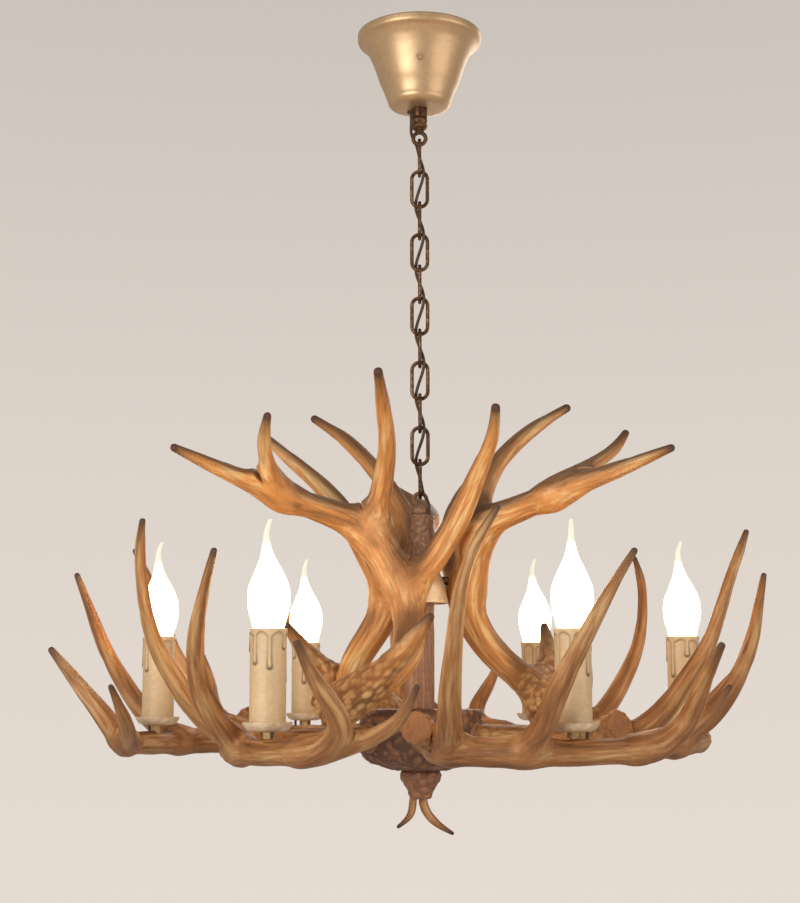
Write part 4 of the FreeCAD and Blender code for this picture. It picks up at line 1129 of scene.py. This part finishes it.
class CHANDELIER_OT_lower_hub(bpy.types.Operator):
    """Rough drum, lid, knob and the two small finial antlers."""
    bl_idname = "chandelier.lower_hub"
    bl_label = "Lower hub"

    def execute(self, context):
        bark = resin_material("hub_resin", (0.10, 0.042, 0.022, 1), (0.50, 0.235, 0.115, 1))
        top = HUB_TOP / MM
        outer = [(0, top)] + [(radius, top - drop) for radius, drop in (
            (54.5, 0), (56.6, 0.6), (DRUM_R, 2.4), (56.6, 6), (DRUM_R, 28), (56.6, 39), (53, 45), (47, 49),
            (34, 53), (23, 56), (0, 56))]
        points, faces, depths = lathe(round_profile(outer, 1.2), 200, drum_depth)
        pieces, shade = [(points, faces)], [depths]
        # A smooth pad where each lower antler meets the drum
        root = np.array(LOWER_BRANCHES[0][0][0][:3]) * MM
        out = np.array([root[0], root[1], 0]) / np.hypot(root[0], root[1])
        level = np.array([0, 0, HUB_MID + root[2]])
        for i in range(LIGHTS):
            cosine, sine = math.cos(turned_step(i, LIGHTS)), math.sin(turned_step(i, LIGHTS))
            way = np.array([out[0] * cosine - out[1] * sine, out[0] * sine + out[1] * cosine, 0])
            curve = np.array([way * r * MM + level for r in np.linspace(52, 60.1, 7)])
            pad = tube(curve, np.array([14, 14, 14, 14, 14, 13.6, 12.6]) * MM, 48)
            pieces.append(pad)
            shade.append(np.zeros(len(pad[0])))
        points, faces = joined(pieces)
        hub = solid_piece("lower_hub_bark", points, faces, {"relief": np.concatenate(shade)})
        dress(hub, bark, "fixture", "resin_hub", "lower_hub", "hub_lid")

        low, high = levels("finial_knob")
        tall = high - low
        profile = [(0, high), (15.5, high), (18.8, high - 2.6), (19.3, high - 6), (18.4, high - 10),
                   (14.6, high - 15.5), (11.8, high - 20), (10.6, high - tall + 2), (9.4, low), (0, low)]
        knob = turned_piece("finial_knob_bark", round_profile(profile, 0.8), 120, lumps(6.5, 1.0, 5.0))
        dress(knob, bark, "fixture", "resin_hub", "finial_knob")

        s = context.scene.antler_settings
        horn = antler_material("finial_antler_resin", s, (0.05, 0.025, 0.014, 1), grey=0.5, side_stain_and_shade=0.0)
        for i, branches in enumerate(FINIAL_BRANCHES):
            piece = antler("finial_tip_%s" % "ab"[i], branches, s.voxel / 2, MM, s)
            dress(piece, horn, "fixture", "resin_hub", *(["finial_antlers"] if i == 0 else []))
        return {"FINISHED"}


def wax_edge(angle, depth):
    """Distance outside the edge of the wax, and how near the low end of a run it is."""
    nearest, low_end, arch = 99.0, 0.0, 99.0
    for centre, half, length in WAX_RUNS:
        across = ((angle - math.radians(centre) + math.pi) % (2 * math.pi) - math.pi) * SLEEVE_R
        arch = min(arch, abs(across))
        share = min(1.0, max(0.0, depth / length))
        width = half * (0.75 + 0.45 * share ** 4)
        gap = math.hypot(across, max(0.0, depth - length + width)) - width
        if gap < nearest:
            nearest, low_end = gap, share ** 3
    hem = 2.8 + 5.5 * math.exp(-arch / 2.6) + 0.8 * math.sin(5 * angle)
    return min(nearest, (depth - hem) * 0.8), low_end


class CHANDELIER_OT_candles(bpy.types.Operator):
    """Candle sleeves with wax drips, and their cups."""
    bl_idname = "chandelier.candles"
    bl_label = "Candles"

    def execute(self, context):
        s = context.scene.candle_settings
        wax = wax_material(s.wax, s.drip_line)
        cup_metal = metal_material("cup_bronze", (0.56, 0.41, 0.26, 1), (0.78, 0.63, 0.44, 1),
                                   roughness=0.45, metallic=0.2, amount=0.45, depth=0.3)
        low, high = (c[2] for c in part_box("candle_sleeve_1"))
        tall = (high - low) / MM
        around, rows, rim = 168, 118, 1.0
        points, line, layer = [], [], []
        for i in range(rows):
            z = tall * i / (rows - 1)
            for j in range(around):
                a = 2 * math.pi * j / around
                near, low_end = wax_edge(a, tall - z)
                cover = 1 / (1 + math.exp(near / 0.3))
                bulge = low_end * math.exp(-((near + 1.2) / 1.1) ** 2)
                r = SLEEVE_R - 1.0 + cover * 0.75 + bulge * 0.35 + 0.12 * noise.noise(
                    Vector((math.cos(a) * 3, math.sin(a) * 3, z * 0.12)))
                if z > tall - rim:
                    r -= (z - tall + rim) ** 2 * 0.3
                points.append((r * math.cos(a) * MM, r * math.sin(a) * MM, z * MM + low))
                drop = min(1.0, max(0.0, (low_end - 0.72) / 0.2)) if near < 0.3 else 0.0
                line.append(max(math.exp(-((near - 0.35) / 0.9) ** 2) * (0.5 + 0.5 * low_end), 0.8 * drop))
                layer.append(cover)
        faces = grid_faces(rows, around)
        # Over the rim, down the bore and back to the foot
        bore = SLEEVE_R - SLEEVE_WALL
        for ring_r, ring_z in ((bore + 0.5, tall - 0.2), (bore, tall - 1), (bore, 0)):
            for j in range(around):
                a = 2 * math.pi * j / around
                points.append((ring_r * math.cos(a) * MM, ring_r * math.sin(a) * MM, ring_z * MM + low))
                line.append(0)
                layer.append(1)
        faces += [tuple(k + (rows - 1) * around for k in f) for f in grid_faces(4, around)]
        faces += [(j, (rows + 2) * around + j, (rows + 2) * around + (j + 1) % around, (j + 1) % around)
                  for j in range(around)]
        sleeve = solid_piece("sleeve_wax_1", points, faces, {"line": line, "layer": layer})
        for i in range(LIGHTS):
            piece = sleeve if i == 0 else copy_piece(sleeve, "sleeve_wax_%d" % (i + 1))
            piece.matrix_world = light_place(i, SLEEVE_TURNS[i])
            dress(piece, wax, "fixture", "candle_cream", "candle_sleeve_%d" % (i + 1))

        low, high = levels("candle_cups")
        profile = [(3.9, low), (13, low), (17.2, low + 1.6), (19.8, low + 4.6), (20.8, high - 0.7),
                   (20.5, high), (19.6, high - 0.4), (18.4, high - 2.2), (17.2, high - 3), (16.2, high - 3),
                   (3.9, high - 3), (3.9, low)]
        cup = turned_piece("cup_1", round_profile(profile, 0.7, 0.25), 96)
        for i in range(LIGHTS):
            piece = cup if i == 0 else copy_piece(cup, "cup_%d" % (i + 1))
            piece.matrix_world = light_place(i)
            dress(piece, cup_metal, "fixture", "cup_bronze", *(["candle_cups"] if i == 0 else []))
        return {"FINISHED"}


class CHANDELIER_OT_lamps(bpy.types.Operator):
    """Lit flame lamps with leaning drawn tips, on their screw caps."""
    bl_idname = "chandelier.lamps"
    bl_label = "Lamps"

    def execute(self, context):
        s = context.scene.candle_settings
        lit = lamp_material(s.glow, s.glow_strength)
        nickel = metal_material("lamp_cap", (0.55, 0.53, 0.50, 1), (0.70, 0.68, 0.64, 1),
                                roughness=0.30, amount=0.5)
        low, high = levels("bulb_1")
        rim = levels("candle_sleeve_1")[1]
        side, _, _ = natural_spline(np.array(LAMP_SIDE), 1.3)
        glass_low = rim + LAMP_SIDE[0][1]
        path = [(0.01, glass_low)] + [(r, rim + z) for _, z, r in side]
        path += [(side[-1][2] * 0.6, high - 0.4), (0.01, high)]
        lean = np.concatenate([[0], side[:, 0], [side[-1][0]] * 2])
        around, tail_low, tail_fade = 72, 58, 14
        points, faces, _ = lathe(np.array(path) * MM, around)
        points[:, 0] += np.repeat(lean, around) * MM
        tail = np.clip((points[:, 2] / MM - rim - tail_low) / tail_fade, 0, 1)
        envelope = solid_piece("lamp_glass_1", points, faces, {"tail": tail})

        cap = [(0, low), (2.6, low), (3.2, low + 0.8), (3.6, low + 1.6), (5.8, low + 2.6)]
        threads, pitch = 6, 2.8
        for k in range(threads):
            z = low + 3.4 + k * pitch
            cap += [(6.1, z), (6.8, z + 1.1), (6.1, z + 2.2)]
        cap += [(6.6, glass_low - 1), (6.7, glass_low), (0, glass_low)]
        screw = turned_piece("lamp_cap_1", round_profile(cap, 0.5, 0.3), 48)
        for i in range(LIGHTS):
            body = "lamp_%d" % (i + 1)
            piece = envelope if i == 0 else copy_piece(envelope, "lamp_glass_%d" % (i + 1))
            piece.matrix_world = light_place(i, LAMP_TURNS[i])
            dress(piece, lit, body, "bulb_glass", "bulb_%d" % (i + 1))
            piece = screw if i == 0 else copy_piece(screw, "lamp_cap_%d" % (i + 1))
            piece.matrix_world = light_place(i, LAMP_TURNS[i])
            dress(piece, nickel, body, "bulb_glass")
        return {"FINISHED"}


class CHANDELIER_OT_hidden_hardware(bpy.types.Operator):
    """Finishes of the fixings that are carried over as they are."""
    bl_idname = "chandelier.hidden_hardware"
    bl_label = "Hidden hardware"

    def execute(self, context):
        zinc = metal_material("zinc_plate", (0.50, 0.49, 0.46, 1), (0.68, 0.67, 0.64, 1),
                              roughness=0.34, amount=0.4)
        brass = metal_material("dull_brass", (0.42, 0.28, 0.12, 1), (0.66, 0.48, 0.24, 1),
                               roughness=0.36, metallic=0.9, amount=0.4)
        white = plastic_material("white_moulding", (0.80, 0.77, 0.70, 1), 0.45)
        use_on_nodes(zinc, "ceiling_bracket", "canopy_nipple", "canopy_nuts", "centre_tube",
                     "antler_bolts", "hub_nuts")
        use_on_nodes(bpy.data.materials["dark_bronze"], "antler_spider")
        use_on_nodes(brass, "candle_studs", "candle_nuts")
        use_on_nodes(white, "terminal_block", "lamp_holders")
        return {"FINISHED"}


OPERATORS = (CHANDELIER_OT_stage, CHANDELIER_OT_ceiling_fitting, CHANDELIER_OT_chain, CHANDELIER_OT_cord,
             CHANDELIER_OT_column, CHANDELIER_OT_lower_hub, CHANDELIER_OT_lower_antlers,
             CHANDELIER_OT_upper_antlers, CHANDELIER_OT_candles, CHANDELIER_OT_lamps,
             CHANDELIER_OT_hidden_hardware)


class CHANDELIER_PT_panel(bpy.types.Panel):
    """Pieces of the chandelier in the order in which they are made."""
    bl_idname = "CHANDELIER_PT_panel"
    bl_label = "Antler chandelier"
    bl_space_type = "VIEW_3D"
    bl_region_type = "UI"
    bl_category = "Chandelier"

    def draw(self, context):
        for operator in OPERATORS:
            self.layout.operator(operator.bl_idname)


def register():
    for kind in (*SETTINGS.values(), *OPERATORS, CHANDELIER_PT_panel):
        bpy.utils.register_class(kind)
    for name, kind in SETTINGS.items():
        setattr(bpy.types.Scene, name, PointerProperty(type=kind))


def unregister():
    for name in SETTINGS:
        delattr(bpy.types.Scene, name)
    for kind in (CHANDELIER_PT_panel, *reversed(OPERATORS), *SETTINGS.values()):
        bpy.utils.unregister_class(kind)


def main():
    register()
    for operator in OPERATORS:
        group, name = operator.bl_idname.split(".")
        getattr(getattr(bpy.ops, group), name)()


if __name__ == "__main__":
    main()
